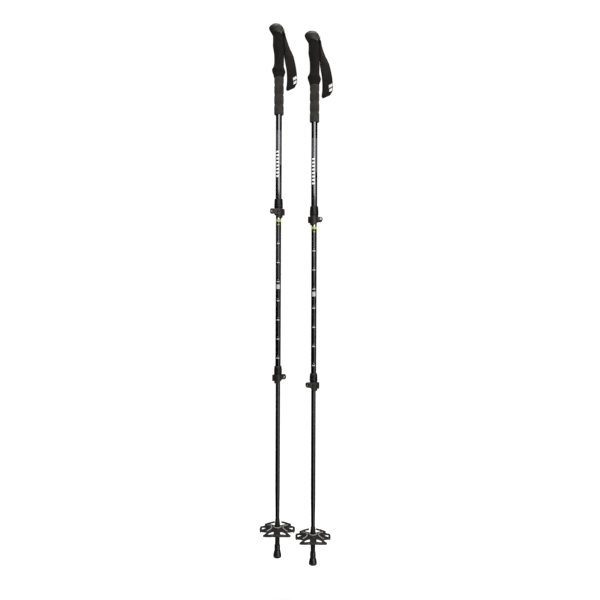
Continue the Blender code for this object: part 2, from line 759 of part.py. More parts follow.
def make_basket(pole):
    """The basket: a domed plate, a lip along each stretch of rim, and a hub that clips round the ferrule."""
    plate = domed(slab_mesh("basket", basket_outlines(), -2.4, 0.0))
    basket = pole.add("basket", plate, "basket_plastic")
    for number, outline in enumerate(rim_outlines()):
        lip = domed(slab_mesh("lip", [[(x * 1.004, y * 1.004) for x, y in outline]], -LIP_HEIGHT, 0.5))
        combine(basket, pole.cutter(f"lip_{number}", lip), "UNION")
    hub = [
        (10.2, HUB_TOP),
        (12.4, HUB_TOP - 1.0),
        (12.4, HUB_TOP - 6.0),
        (9.6, HUB_TOP - 8.5),
        (9.6, HUB_TOP - 15.0),
        (5.0, HUB_TOP - 15.0),
        (5.0, HUB_TOP - 1.6),
        (9.0, HUB_TOP - 1.6),
    ]
    combine(basket, turn(pole.cutter("hub", profile_mesh("hub", hub))), "UNION")
    bore = rod_mesh("basket_bore", 6.7, (0, 0, 40), (0, 0, 100), SIDES)
    combine(basket, pole.cutter("basket_bore", bore), "DIFFERENCE")


def make_ferrule(pole):
    """The plastic tip moulding: a sleeve over the lower tube, a collar that stops the basket, and a nose."""
    profile = [
        (0, LOWER_TUBE_BOTTOM - 0.4),
        (TAPERED_R + 0.35, LOWER_TUBE_BOTTOM - 0.4),
        (TAPERED_R + 0.35, FERRULE_TOP),
        (TAPERED_R + 0.6, FERRULE_TOP),
        (6.75, 89.5),
        (6.75, HUB_TOP - 0.9),
        (6.2, HUB_TOP - 1.3),
        (6.2, 14.0),
        (3.4, 7.5),
        (1.95, 7.5),
        (1.95, 18.0),
        (0, 18.0),
    ]
    turn(pole.add("ferrule", profile_mesh("ferrule", profile), "ferrule_plastic"))


def make_carbide_tip(pole):
    """The hard tip: a pin in the ferrule's nose with a hollow-ended crown."""
    profile = [(0, 17.6), (1.6, 17.6), (1.6, 7.2), (2.5, 7.0), (2.5, 4.7), (1.6, 4.7), (0, 5.8)]
    turn(pole.add("carbide_tip", profile_mesh("carbide_tip", profile), "carbide"), SMALL_SIDES)


def make_tip_protector(pole):
    """The rubber boot over the tip, with a flat sole."""
    profile = [
        (0, 4.2),
        (4.1, 4.2),
        (4.1, 7.0),
        (6.55, 13.4),
        (6.55, PROTECTOR_TOP),
        (7.0, PROTECTOR_TOP),
        (7.5, PROTECTOR_TOP - 3.5),
        (7.55, 18.5),
        (9.3, 13.0),
        (10.7, 5.0),
        (10.3, 1.2),
        (9.2, 0),
        (0, 0),
    ]
    turn(pole.add("tip_protector", profile_mesh("tip_protector", profile), "tip_rubber"))


# ---------------------------------------------------------------- poles


def smooth_round_parts(parts):
    for obj in parts.objects:
        if obj.type == "MESH":
            obj.data.shade_smooth()
            obj.data.set_sharp_from_angle(angle=math.radians(35))


def make_pole(side, place, lock_turns, parts, cutters):
    """One whole pole. lock_turns are the turns of its upper and its lower lock about the tubes."""
    pole = Builder(side, parts, cutters)
    pole.base.location = place
    pocket = pocket_cutter(pole)
    make_head_cap(pole, pocket)
    make_head_plug(pole)
    make_strap_pin(pole)
    make_strap_wedge(pole)
    make_strap(pole)
    make_strap_badge(pole)
    make_grip_foam(pole, pocket)
    make_grip_extension(pole)
    make_tubes(pole)
    make_guides(pole)
    upper_turn, lower_turn = lock_turns
    make_lock(pole.inner("upper_", UPPER_LOCK, upper_turn), Lock(UPPER_R, MIDDLE_R, 33.0))
    make_lock(pole.inner("lower_", LOWER_LOCK, lower_turn), Lock(MIDDLE_R, LOWER_R, 29.5))
    make_basket(pole)
    make_ferrule(pole)
    make_carbide_tip(pole)
    make_tip_protector(pole)


def main():
    clear_scene()
    parts = new_collection("trekking_poles")
    cutters = new_collection("cutters")
    make_pole("left", (-POLE_SPACING, 0, LEFT_RISE - HAND_HEIGHT), (0.0, math.pi), parts, cutters)
    make_pole("right", (0, 0, -HAND_HEIGHT), (math.pi, 0.0), parts, cutters)
    smooth_round_parts(parts)


main()
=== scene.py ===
"""The looks of the trekking poles: fine meshes, procedural materials, studio light and camera."""

import math

import bmesh
import bpy
from mathutils import Matrix, Vector


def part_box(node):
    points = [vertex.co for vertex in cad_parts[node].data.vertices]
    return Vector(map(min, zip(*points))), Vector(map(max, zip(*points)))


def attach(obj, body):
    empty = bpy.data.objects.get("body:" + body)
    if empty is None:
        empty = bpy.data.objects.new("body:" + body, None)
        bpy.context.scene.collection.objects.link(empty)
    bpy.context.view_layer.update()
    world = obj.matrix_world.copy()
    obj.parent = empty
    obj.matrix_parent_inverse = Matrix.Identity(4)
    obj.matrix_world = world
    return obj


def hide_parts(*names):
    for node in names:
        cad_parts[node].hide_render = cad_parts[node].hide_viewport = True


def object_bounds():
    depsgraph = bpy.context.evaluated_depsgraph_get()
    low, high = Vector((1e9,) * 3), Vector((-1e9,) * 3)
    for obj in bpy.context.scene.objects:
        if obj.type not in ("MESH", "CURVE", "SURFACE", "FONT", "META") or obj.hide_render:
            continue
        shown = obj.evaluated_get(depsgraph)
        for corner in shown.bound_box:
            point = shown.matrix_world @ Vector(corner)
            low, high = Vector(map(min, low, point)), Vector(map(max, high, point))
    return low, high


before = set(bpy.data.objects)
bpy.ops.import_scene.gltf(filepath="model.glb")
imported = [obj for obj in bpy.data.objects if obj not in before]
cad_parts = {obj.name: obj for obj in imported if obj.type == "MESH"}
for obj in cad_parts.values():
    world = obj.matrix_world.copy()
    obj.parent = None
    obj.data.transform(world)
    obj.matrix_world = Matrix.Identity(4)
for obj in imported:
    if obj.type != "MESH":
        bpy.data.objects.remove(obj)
CAD_BOX = [list(corner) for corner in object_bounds()]

MM = 0.001

# ---- heights above a pole's foot, in millimetres, as in the CAD ----
SEAM_POINTS = [(-18.0, 1370.6), (-9.0, 1374.4), (0.5, 1371.4), (8.0, 1366.9), (15.0, 1366.8)]
GRIP_BOTTOM = 1259.3
EXTENSION_TOP = 1258.9
EXTENSION_BOTTOM = 1161.5
UPPER_TUBE_TOP = 1362.0
MIDDLE_TUBE_TOP = 960.0
LOWER_TUBE_TOP = 540.0
TAPER_TOP = 176.0
FERRULE_TOP = 100.0
LOWER_TUBE_BOTTOM = 62.0
HUB_TOP = 81.3
PROTECTOR_TOP = 33.2
UPPER_LOCK = 907.3
LOWER_LOCK = 472.6

# ---- foam grips: heights as above ----
FOAM_BORE_R = 8.4
EXTENSION_R = 12.6
EXTENSION_STEP = 0.8
TOP_GROOVE = 1240.0
GROOVES = 3
GROOVE_PITCH = 26.4
GROOVE_DEPTH = 1.1
GROOVE_REACH = 6.0

# ---- tubes ----
UPPER_R = 8.0
MIDDLE_R = 7.0
LOWER_R = 6.0
TAPERED_R = 5.1
WALL = 0.75
FIT = 0.4

# ---- head, pocket and strap: heights as above ----
SEAM_GAP = 0.4
POCKET_FRONT = 2.5
POCKET_HALF_WIDTH = 13.0
POCKET_FLOOR = 1366.0
POCKET_ROOF = 1382.3
STRAP_PIN = (6.5, 1372.5)
STRAP_PIN_R = 1.6
STRAP_WIDTH = 24.0
STRAP_THICKNESS = 1.5
STRAP_WRAP_R = 2.75

# ---- locks: heights are from the tension screw ----
UPPER_SLEEVE = 33.0
LOWER_SLEEVE = 29.5
TUBE_SEAT = 8.5
CLAMP_BOTTOM = -18.0
EAR_REACH = 10.3
BAND_REACH = 3.9
EAR_R = 5.1
EAR_FRONT = 4.8
EAR_BACK = 5.6
PIN_SETBACK = 10.0
PRONG_R = 4.6
PIN_R = 2.7
SCREW_R = 1.4
SCREW_HEAD_R = 3.1
THREAD_PITCH = 0.5
THREAD_TURNS = 20
LEVER_THICKNESS = 2.1
PLAY = 0.3

# ---- print on the tubes: heights above a pole's foot, from low to high, and colours ----
GREY_ZONE_TOP = (1118.0, 1119.2)
# its lower edge, at the left and at the right
GREY_ZONE_BOTTOM = (1069.0, 1028.5)
DASHES = (996.0, 1069.0)
DASH_COUNT = 8
SILVER_BAND = (886.4, 892.6)
LIME_BAND = (880.2, 886.4)
LIME_DAB = (871.6, 874.0)
TICKS = (515.0, 832.0)
TOP_TICK = 823.2
TICK_PITCH = 50.0
LABEL = (704.0, 716.0)
GREY_ZONE_COLOUR = (0.2, 0.2, 0.218, 1.0)
LIME = (0.36, 0.43, 0.1, 1.0)

# ---- smoothness ----
SIDES = 64
GRIP_SIDES = 96
SMALL_SIDES = 32
WELD = 0.00002
SMOOTH_ANGLE = math.radians(38)


# ======== placing pieces ========


def placed(name, data):
    """A new object in the scene."""
    obj = bpy.data.objects.new(name, data)
    bpy.context.scene.collection.objects.link(obj)
    return obj


class Place:
    """A spot on a pole that pieces are drawn round: its foot, or a lock's tension screw."""

    def __init__(self, side, origin, turn=0.0):
        self.side = side
        self.matrix = Matrix.Translation(origin) @ Matrix.Rotation(turn, 4, "Z")

    def piece(self, name, mesh, material, slot, body, node=None):
        """A shown piece on a body, in place of the CAD node, or of the one with its own name."""
        obj = placed(f"{self.side}_{name}_skin", mesh)
        obj.matrix_world = self.matrix
        mesh.materials.append(material)
        smooth(mesh)
        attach(obj, f"{self.side}_{body}")
        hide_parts(f"{self.side}_{node or name}")
        return obj


def foot_of(side):
    """The centre of the sole of a pole's tip protector."""
    low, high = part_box(f"{side}_tip_protector")
    return Vector(((low.x + high.x) / 2, 0, low.z))


def lock_place(side, name):
    """The frame of a lock: on the pole's axis at the screw's height, with the screw at -X."""
    low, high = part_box(f"{side}_{name}_screw")
    foot = foot_of(side)
    turn = 0.0 if (low.x + high.x) / 2 < foot.x else math.pi
    return Place(side, (foot.x, 0, (low.z + high.z) / 2), turn)


# ======== mesh helpers ========


def finished(mesh, bm):
    bmesh.ops.recalc_face_normals(bm, faces=bm.faces)
    bm.to_mesh(mesh)
    bm.free()
    return mesh


def evaluated_mesh(obj):
    """An object's mesh, with its modifiers or its curve's bevel worked out."""
    bpy.context.view_layer.update()
    return bpy.data.meshes.new_from_object(obj.evaluated_get(bpy.context.evaluated_depsgraph_get()))


def smooth(mesh):
    mesh.shade_smooth()
    mesh.set_sharp_from_angle(angle=SMOOTH_ANGLE)


def rounded(points, radius, steps=3, closed=True):
    """The same outline with each corner eased into a small curve."""
    made = []
    count = len(points)
    for i, point in enumerate(points):
        if not closed and i in (0, count - 1):
            made.append(point)
            continue
        here = Vector(point)
        before = Vector(points[i - 1]) - here
        after = Vector(points[(i + 1) % count]) - here
        reach = min(radius, before.length * 0.45, after.length * 0.45)
        straight = before.length < 1e-6 or after.length < 1e-6 or abs(before.angle(after) - math.pi) < 0.12
        if straight:
            made.append(point)
            continue
        start = here + before.normalized() * reach
        end = here + after.normalized() * reach
        for k in range(steps + 1):
            t = k / steps
            made.append(tuple(start * (1 - t) ** 2 + here * 2 * t * (1 - t) + end * t * t))
    return made


def walled(name, bm, rows, closed):
    """A mesh of the faces between rows of vertices. A row of one vertex makes a fan."""
    pairs = list(zip(rows, rows[1:]))
    if closed:
        pairs.append((rows[-1], rows[0]))
    for upper, lower in pairs:
        sides = max(len(upper), len(lower))
        for i in range(sides):
            j = (i + 1) % sides
            above = [upper[i % len(upper)], upper[j % len(upper)]]
            below = [lower[j % len(lower)], lower[i % len(lower)]]
            bm.faces.new(list(dict.fromkeys(above + below)))
    return finished(bpy.data.meshes.new(name), bm)


def turned(name, profile, sides=SIDES, ease=0.0):
    """A mesh turned from an (r, height) profile in millimetres, with eased corners."""
    on_axis = profile[0][0] == 0
    if ease:
        profile = rounded(profile, ease, 3, closed=not on_axis)
    bm = bmesh.new()
    rows = []
    for r, h in profile:
        count = 1 if r < 1e-6 else sides
        angles = [2 * math.pi * i / sides for i in range(count)]
        rows.append([bm.verts.new(Vector((r * math.cos(a), r * math.sin(a), h)) * MM) for a in angles])
    return walled(name, bm, rows, closed=not on_axis)


def skinned(name, rings, closed=False):
    """A skin over rings of points in millimetres, with ends of fans, or closed into a loop."""
    bm = bmesh.new()
    rows = [[bm.verts.new(Vector(p) * MM) for p in ring] for ring in rings]
    if not closed:
        ends = [sum((v.co for v in row), Vector()) / len(row) for row in (rows[0], rows[-1])]
        first, last = [bm.verts.new(end) for end in ends]
        rows = [[first], *rows, [last]]
    return walled(name, bm, rows, closed)


def blend_points(a, b, c, d, t):
    """The point at t between b and c on a Catmull-Rom curve."""
    a, b, c, d = Vector(a), Vector(b), Vector(c), Vector(d)
    return 0.5 * (2 * b + (c - a) * t + (2 * a - 5 * b + 4 * c - d) * t**2 + (3 * b - a - 3 * c + d) * t**3)


def four_around(items, i):
    """The four items round the stretch that starts at i; an end item is repeated."""
    last = len(items) - 1
    return [items[max(0, min(last, i + k))] for k in (-1, 0, 1, 2)]


def refined(rings, steps):
    """More rings, on smooth curves through the given ones."""
    made = []
    for i in range(len(rings) - 1):
        picks = four_around(rings, i)
        for step in range(steps):
            t = step / steps
            made.append([blend_points(*points, t) for points in zip(*picks)])
    made.append([Vector(p) for p in rings[-1]])
    return made


def box(name, low, high, bevel=0.0):
    bm = bmesh.new()
    bmesh.ops.create_cube(bm, size=1.0)
    bmesh.ops.scale(bm, vec=(Vector(high) - Vector(low)) * MM, verts=bm.verts)
    bmesh.ops.translate(bm, vec=(Vector(high) + Vector(low)) / 2 * MM, verts=bm.verts)
    if bevel:
        bmesh.ops.bevel(bm, geom=bm.edges[:], offset=bevel * MM, segments=3, affect="EDGES", profile=0.5)
    return finished(bpy.data.meshes.new(name), bm)


def rod(name, radius, start, end, sides=SMALL_SIDES, ease=0.0):
    """A cylinder between two points, with eased rims."""
    start, end = Vector(start), Vector(end)
    length = (end - start).length
    profile = [(0, length), (radius, length), (radius, 0), (0, 0)]
    mesh = turned(name, profile, sides, ease)
    aim = (end - start).to_track_quat("Z", "Y").to_matrix().to_4x4()
    mesh.transform(Matrix.Translation(start * MM) @ aim)
    return mesh


def slab(name, outlines, low, high, ease=0.0, facing="Z", cell=None):
    """Flat outlines filled from low to high with rounded rims, cut into cells to be bent."""
    curve = bpy.data.curves.new(name, "CURVE")
    curve.dimensions = "2D"
    curve.fill_mode = "BOTH"
    curve.extrude = ((high - low) / 2 - ease) * MM
    curve.bevel_depth = ease * MM
    curve.bevel_resolution = 2
    curve.offset = -ease * MM
    for outline in outlines:
        spline = curve.splines.new("POLY")
        spline.points.add(len(outline) - 1)
        for point, (x, y) in zip(spline.points, outline):
            point.co = (x * MM, y * MM, 0, 1)
        spline.use_cyclic_u = True
    holder = placed(name, curve)
    mesh = evaluated_mesh(holder)
    bpy.data.objects.remove(holder, do_unlink=True)
    bm = bmesh.new()
    bm.from_mesh(mesh)
    bmesh.ops.remove_doubles(bm, verts=bm.verts, dist=WELD)
    if cell:
        cut_into_cells(bm, cell)
    bmesh.ops.translate(bm, vec=(0, 0, (high + low) / 2 * MM), verts=bm.verts)
    if facing == "Y":
        bmesh.ops.rotate(bm, matrix=Matrix.Rotation(math.pi / 2, 3, "X"), verts=bm.verts)
        bmesh.ops.translate(bm, vec=(0, (high + low) * MM, 0), verts=bm.verts)
    return finished(mesh, bm)


def cut_into_cells(bm, cell):
    """Cut a flat mesh along a square grid, so that it bends smoothly."""
    for axis in (Vector((1, 0, 0)), Vector((0, 1, 0))):
        reach = int(0.06 / (cell * MM))
        for k in range(-reach, reach + 1):
            place = axis * (k * cell * MM + 0.00013)
            everything = bm.verts[:] + bm.edges[:] + bm.faces[:]
            bmesh.ops.bisect_plane(bm, geom=everything, plane_co=place, plane_no=axis)


def arc(centre, radius, start, end, count):
    """Points along an arc, in degrees from +X, both ends included."""
    angles = [math.radians(start + (end - start) * i / (count - 1)) for i in range(count)]
    return [(centre[0] + radius * math.cos(a), centre[1] + radius * math.sin(a)) for a in angles]


def along(points, x):
    """The height of a smooth curve through (x, height) points."""
    if x <= points[0][0]:
        return points[0][1]
    for (x0, y0), (x1, y1) in zip(points, points[1:]):
        if x <= x1:
            t = (x - x0) / (x1 - x0)
            return y0 + (y1 - y0) * t * t * (3 - 2 * t)
    return points[-1][1]


def oval(height, x_low, x_high, half_width, power=2.4):
    """A ring of points round a rounded-square outline; height is a number, or a function of x."""
    middle = (x_low + x_high) / 2 if x_low * x_high > 0 else 0.0
    ring = []
    for i in range(GRIP_SIDES):
        a = 2 * math.pi * i / GRIP_SIDES
        c, s = math.cos(a), math.sin(a)
        reach = x_high - middle if c > 0 else middle - x_low
        x = middle + math.copysign(abs(c) ** (2 / power) * reach, c)
        y = math.copysign(abs(s) ** (2 / power) * half_width, s)
        ring.append((x, y, height(x) if callable(height) else height))
    return ring


def carved(mesh, add=(), keep=(), cut=(), bevel=0.0):
    """A mesh with tools added, kept within and taken away, in that order, and its edges eased."""
    obj = placed(mesh.name, mesh)
    helpers = []
    for operation, tools in (("UNION", add), ("INTERSECT", keep), ("DIFFERENCE", cut)):
        for tool in tools:
            step = obj.modifiers.new(operation, "BOOLEAN")
            step.operation = operation
            step.object = placed(tool.name, tool)
            step.solver = "EXACT"
            helpers.append(step.object)
    if bevel:
        ease = obj.modifiers.new("Ease", "BEVEL")
        ease.width = bevel * MM
        ease.segments = 2
        ease.limit_method = "ANGLE"
        ease.angle_limit = SMOOTH_ANGLE
        ease.use_clamp_overlap = True
    made = evaluated_mesh(obj)
    for helper in (obj, *helpers):
        bpy.data.objects.remove(helper, do_unlink=True)
    return made


# ======== materials ========


class Paint:
    """A Principled material with procedural nodes in the piece's own coordinates."""

    def __init__(self, name, roughness, metallic=0.0, specular=0.5, sheen=0.0, sheen_roughness=0.5):
        self.material = bpy.data.materials.new(name)
        self.material.use_nodes = True
        self.tree = self.material.node_tree
        self.shader = self.tree.nodes["Principled BSDF"]
        settings = {"Roughness": roughness, "Metallic": metallic, "Specular IOR Level": specular}
        settings |= {"Sheen Weight": sheen, "Sheen Roughness": sheen_roughness}
        for socket, value in settings.items():
            self.shader.inputs[socket].default_value = value
        self.where = self.node("TexCoord", {}).outputs["Object"]

    def plug(self, value, socket):
        """Set a socket to a number or colour, or link another socket into it."""
        if isinstance(value, bpy.types.NodeSocket):
            self.tree.links.new(value, socket)
        else:
            socket.default_value = value

    def node(self, kind, inputs, **settings):
        """A new node with settings, and inputs set or linked by name or number."""
        node = self.tree.nodes.new(f"ShaderNode{kind}")
        for name, value in settings.items():
            setattr(node, name, value)
        for key, value in inputs.items():
            self.plug(value, node.inputs[key])
        return node

    def math(self, operation, *values):
        return self.node("Math", dict(enumerate(values)), operation=operation).outputs[0]

    def times(self, a, b):
        """The product of two values."""
        return self.math("MULTIPLY", a, b)

    def stretched(self, scale):
        """The piece's coordinates, scaled along each axis."""
        return self.node("VectorMath", {0: self.where, 1: scale}, operation="MULTIPLY").outputs[0]

    def axes(self):
        return self.node("SeparateXYZ", {0: self.where}).outputs

    def noise(self, scale, detail=3.0, where=None):
        inputs = {"Vector": where or self.where, "Scale": scale, "Detail": detail, "Roughness": 0.55}
        return self.node("TexNoise", inputs).outputs["Fac"]

    def cells(self, scale):
        """The distance to the nearest of many scattered points."""
        return self.node("TexVoronoi", {"Vector": self.where, "Scale": scale}).outputs["Distance"]

    def attribute(self, name):
        return self.node("Attribute", {}, attribute_name=name).outputs["Fac"]

    def waves(self, value, pitch):
        """Round ridges, from 0 to 1, one for each pitch in millimetres."""
        return self.math("ABSOLUTE", self.math("SINE", self.times(value, math.pi / (pitch * MM))))

    def span(self, value, low, high, to_low=0.0, to_high=1.0, kind="LINEAR"):
        """The value mapped from low and high to two other numbers, and held between them."""
        inputs = dict(enumerate((value, low, high, to_low, to_high)))
        return self.node("MapRange", inputs, interpolation_type=kind).outputs[0]

    def mix(self, share, a, b):
        """Colour a where share is 0, and b where it is 1."""
        return self.node("Mix", {"Factor": share, 6: a, 7: b}, data_type="RGBA").outputs[2]

    def window(self, value, low, high, soft):
        """1 between low and high, with soft edges."""
        rise = self.span(value, low - soft, low + soft)
        fall = self.span(value, high - soft, high + soft, 1.0, 0.0)
        return self.times(rise, fall)

    def print_over(self, ink):
        """Take the metal's shine away where ink is 1."""
        self.plug(self.math("SUBTRACT", 1.0, ink), self.shader.inputs["Metallic"])

    def colour(self, value):
        self.plug(value, self.shader.inputs["Base Color"])

    def roughness(self, value):
        self.plug(value, self.shader.inputs["Roughness"])

    def bump(self, height, depth, strength=1.0):
        """Raise the surface by height, from 0 to 1, times depth in millimetres."""
        inputs = {"Strength": strength, "Distance": depth * MM, "Height": height}
        self.plug(self.node("Bump", inputs).outputs[0], self.shader.inputs["Normal"])


def grey(value, warmth=0.0):
    """A near-neutral linear colour, warmer for a positive warmth."""
    return (value * (1 + warmth), value, value * (1 - warmth), 1.0)


def foam_material(name, dark, light, warmth):
    """Closed-cell foam: fine pores and a dusty, uneven tone."""
    paint = Paint(name, 0.88, specular=0.15, sheen=0.03, sheen_roughness=0.6)
    pores = paint.cells(900.0)
    blotch = paint.noise(70.0, 4.0)
    grain = paint.noise(1500.0, 2.0)
    tone = paint.math("ADD", paint.times(blotch, 0.6), paint.times(grain, 0.4))
    paint.colour(paint.mix(paint.span(tone, 0.35, 0.65), grey(dark, warmth), grey(light, warmth)))
    paint.bump(paint.math("ADD", pores, paint.times(grain, 0.5)), 0.25, 0.7)
    return paint.material


def moulded_material(name, dark, light, roughness, grain_scale=1400.0, depth=0.05, warmth=0.02, edge_highlight=0.0):
    """Moulded plastic: a fine spark-eroded grain, a faint mottle, and a painted highlight that makes sharp
    edges lighter.
    """
    paint = Paint(name, roughness, specular=0.3)
    mottle = paint.noise(120.0, 4.0)
    grain = paint.noise(grain_scale, 2.0)
    edge = paint.node("NewGeometry", {}).outputs["Pointiness"]
    # painted highlight: sharp edges, found by their pointiness, are made lighter where they would catch the
    # light
    edge_highlight_mask = paint.span(edge, 0.52, 0.6)
    tone = paint.math("ADD", paint.times(mottle, 0.7), paint.times(edge_highlight_mask, 0.35))
    base = paint.mix(paint.span(tone, 0.25, 0.75), grey(dark, warmth), grey(light, warmth))
    # the painted edge highlight also pulls the colour towards a light grey
    paint.colour(paint.mix(paint.times(edge_highlight_mask, edge_highlight), base, grey(0.2, warmth)))
    paint.roughness(paint.span(mottle, 0.3, 0.7, roughness - 0.06, roughness + 0.08))
    paint.bump(grain, depth, 0.6)
    return paint.material


def rubber_material():
    """Smooth moulded rubber with scuffs towards its sole."""
    paint = Paint("tip_rubber_look", 0.38, specular=0.8)
    mottle = paint.noise(90.0, 4.0)
    scuff = paint.noise(600.0, where=paint.stretched((1.0, 1.0, 3.0)))
    height = paint.span(paint.axes()[2], 0.0, 12 * MM, 1.0, 0.0)
    worn = paint.times(height, paint.span(scuff, 0.5, 0.62))
    base = paint.mix(paint.span(mottle, 0.3, 0.7), grey(0.006), grey(0.012))
    paint.colour(paint.mix(worn, base, grey(0.03, 0.03)))
    paint.roughness(paint.span(worn, 0.0, 1.0, 0.2, 0.6))
    paint.bump(scuff, 0.06, 0.5)
    return paint.material


def steel_material():
    """Plated steel with fine turning marks."""
    paint = Paint("steel_look", 0.26, 1.0)
    marks = paint.noise(2600.0, 2.0)
    blotch = paint.noise(200.0)
    paint.colour(paint.mix(paint.span(blotch, 0.3, 0.7), grey(0.3, 0.01), grey(0.44, 0.01)))
    paint.roughness(paint.span(marks, 0.3, 0.7, 0.3, 0.45))
    paint.bump(marks, 0.02, 0.4)
    return paint.material


def carbide_material():
    """Ground tungsten carbide."""
    paint = Paint("carbide_look", 0.34, 1.0)
    marks = paint.noise(1800.0)
    paint.colour(paint.mix(marks, grey(0.2), grey(0.36)))
    paint.roughness(paint.span(marks, 0.3, 0.7, 0.26, 0.46))
    paint.bump(marks, 0.03, 0.5)
    return paint.material


# ---- weave of the straps, in millimetres ----
CORD_PITCH = 1.1
PICK_PITCH = 0.9
WEAVE_ROW = 6
WEAVE_SLANT = 4
SELVEDGE = (10.2, 10.8)


def webbing_material():
    """Plain-woven webbing: herringbone rows across, warp cords along, and denser selvedges."""
    paint = Paint("webbing_look", 0.86, specular=0.15, sheen=0.03)
    run, across = paint.attribute("strap_run"), paint.attribute("strap_across")
    cords = paint.waves(across, CORD_PITCH)
    row = paint.math("FRACT", paint.math("DIVIDE", across, WEAVE_ROW * MM))
    folded = paint.math("ABSOLUTE", paint.math("SUBTRACT", row, 0.5))
    slant = paint.math("ADD", run, paint.times(folded, WEAVE_SLANT * MM))
    picks = paint.waves(slant, PICK_PITCH)
    fuzz = paint.noise(2200.0, 2.0)
    weave = paint.times(cords, picks)
    side = paint.math("ABSOLUTE", across)
    selvedge = paint.span(side, *[edge * MM for edge in SELVEDGE])
    tone = paint.math("ADD", paint.times(weave, 0.55), paint.times(fuzz, 0.45))
    cloth = paint.mix(paint.span(tone, 0.2, 0.8), grey(0.004, 0.16), grey(0.012, 0.16))
    paint.colour(paint.mix(selvedge, cloth, grey(0.006, 0.16)))
    paint.bump(paint.math("ADD", weave, paint.times(fuzz, 0.3)), 0.22, 0.8)
    return paint.material


def badge_material():
    """Black rubber with a plain mark of two slanted white bars."""
    paint = Paint("badge_look", 0.5, specular=0.3)
    across, down = paint.attribute("badge_across"), paint.attribute("badge_down")
    slant = paint.math("ADD", down, paint.times(across, 0.12))
    top = paint.times(paint.window(slant, -0.9, -0.25, 0.03), paint.window(across, -0.85, 0.85, 0.04))
    low = paint.times(paint.window(slant, 0.1, 0.85, 0.03), paint.window(across, -0.35, 0.6, 0.04))
    mottle = paint.noise(300.0)
    white = paint.mix(mottle, grey(0.5), grey(0.7))
    paint.colour(paint.mix(paint.math("MAXIMUM", top, low), grey(0.01), white))
    paint.bump(paint.noise(1800.0, 2.0), 0.03, 0.4)
    return paint.material


def tube_paint(name, body, roughness):
    """Dark anodised aluminium with faint drawing lines along the tube, before any print."""
    paint = Paint(name, roughness, 1.0)
    lines = paint.noise(260.0, where=paint.stretched((1.0, 1.0, 0.02)))
    haze = paint.noise(24.0)
    paint.roughness(paint.span(haze, 0.3, 0.7, roughness - 0.03, roughness + 0.05))
    base = paint.mix(paint.span(lines, 0.3, 0.7), grey(body * 0.9), grey(body * 1.1))
    return paint, base


def tube_places(paint, radius):
    """The height in millimetres, the place from -1 at the left to 1 at the right, and the front half."""
    x, y, z = paint.axes()
    height = paint.math("DIVIDE", z, MM)
    side = paint.math("DIVIDE", x, radius * MM)
    return height, side, paint.math("LESS_THAN", y, 0.0)


def upper_tube_material():
    """Gloss black with a printed steel-grey zone and a column of plain white dashes."""
    paint, base = tube_paint("upper_tube_look", 0.17, 0.08)
    height, side, front = tube_places(paint, UPPER_R)
    # the grey zone's lower edge runs down at a slant, from the left side to the right
    low = paint.span(side, -0.2, 0.5, *GREY_ZONE_BOTTOM, "SMOOTHSTEP")
    below = paint.math("SUBTRACT", height, low)
    zone = paint.times(paint.span(below, -0.6, 0.6), paint.span(height, *GREY_ZONE_TOP, 1.0, 0.0))
    base = paint.mix(zone, base, GREY_ZONE_COLOUR)
    # the dashes stand in a column on the front left
    bottom, top = DASHES
    pitch = (top - bottom) / DASH_COUNT
    step = paint.math("FRACT", paint.math("DIVIDE", paint.math("SUBTRACT", height, bottom), pitch))
    dash = paint.window(step, 0.1, 0.62, 0.03)
    column = paint.window(side, -0.78, 0.08, 0.04)
    stretch = paint.window(height, bottom, top, 0.3)
    mark = paint.times(paint.times(dash, column), paint.times(stretch, front))
    paint.colour(paint.mix(mark, base, grey(0.85)))
    paint.print_over(paint.math("MAXIMUM", mark, paint.times(zone, 0.26)))
    return paint.material


def middle_tube_material():
    """Satin black with silver and lime bands, a lime mark, white length ticks and a blank label."""
    paint, base = tube_paint("middle_tube_look", 0.065, 0.2)
    height, side, front = tube_places(paint, MIDDLE_R)
    silver = paint.window(height, *SILVER_BAND, 0.15)
    lime = paint.window(height, *LIME_BAND, 0.15)
    dab = paint.times(paint.window(height, *LIME_DAB, 0.3), paint.window(side, -0.36, 0.36, 0.06))
    lime = paint.math("MAXIMUM", lime, paint.times(dab, front))
    # each tick has a dot above it
    count = paint.math("DIVIDE", paint.math("SUBTRACT", TOP_TICK, height), TICK_PITCH)
    near = paint.math("SUBTRACT", paint.math("FRACT", paint.math("ADD", count, 0.5)), 0.5)
    tick = paint.times(paint.window(near, -0.028, 0.028, 0.004), paint.window(side, -0.5, 0.5, 0.03))
    dot = paint.times(paint.window(near, -0.126, -0.098, 0.004), paint.window(side, -0.12, 0.12, 0.03))
    ticks = paint.times(paint.math("MAXIMUM", tick, dot), paint.window(height, *TICKS, 0.3))
    label = paint.times(paint.window(height, *LABEL, 0.2), paint.window(side, -0.62, 0.62, 0.03))
    white = paint.times(paint.math("MAXIMUM", ticks, label), front)
    colour = paint.mix(silver, base, grey(0.42))
    colour = paint.mix(lime, colour, LIME)
    paint.colour(paint.mix(white, colour, grey(0.42, 0.04)))
    paint.print_over(paint.math("MAXIMUM", lime, white))
    return paint.material


def lower_tube_material():
    """Satin black."""
    paint, base = tube_paint("lower_tube_look", 0.08, 0.2)
    paint.colour(base)
    return paint.material


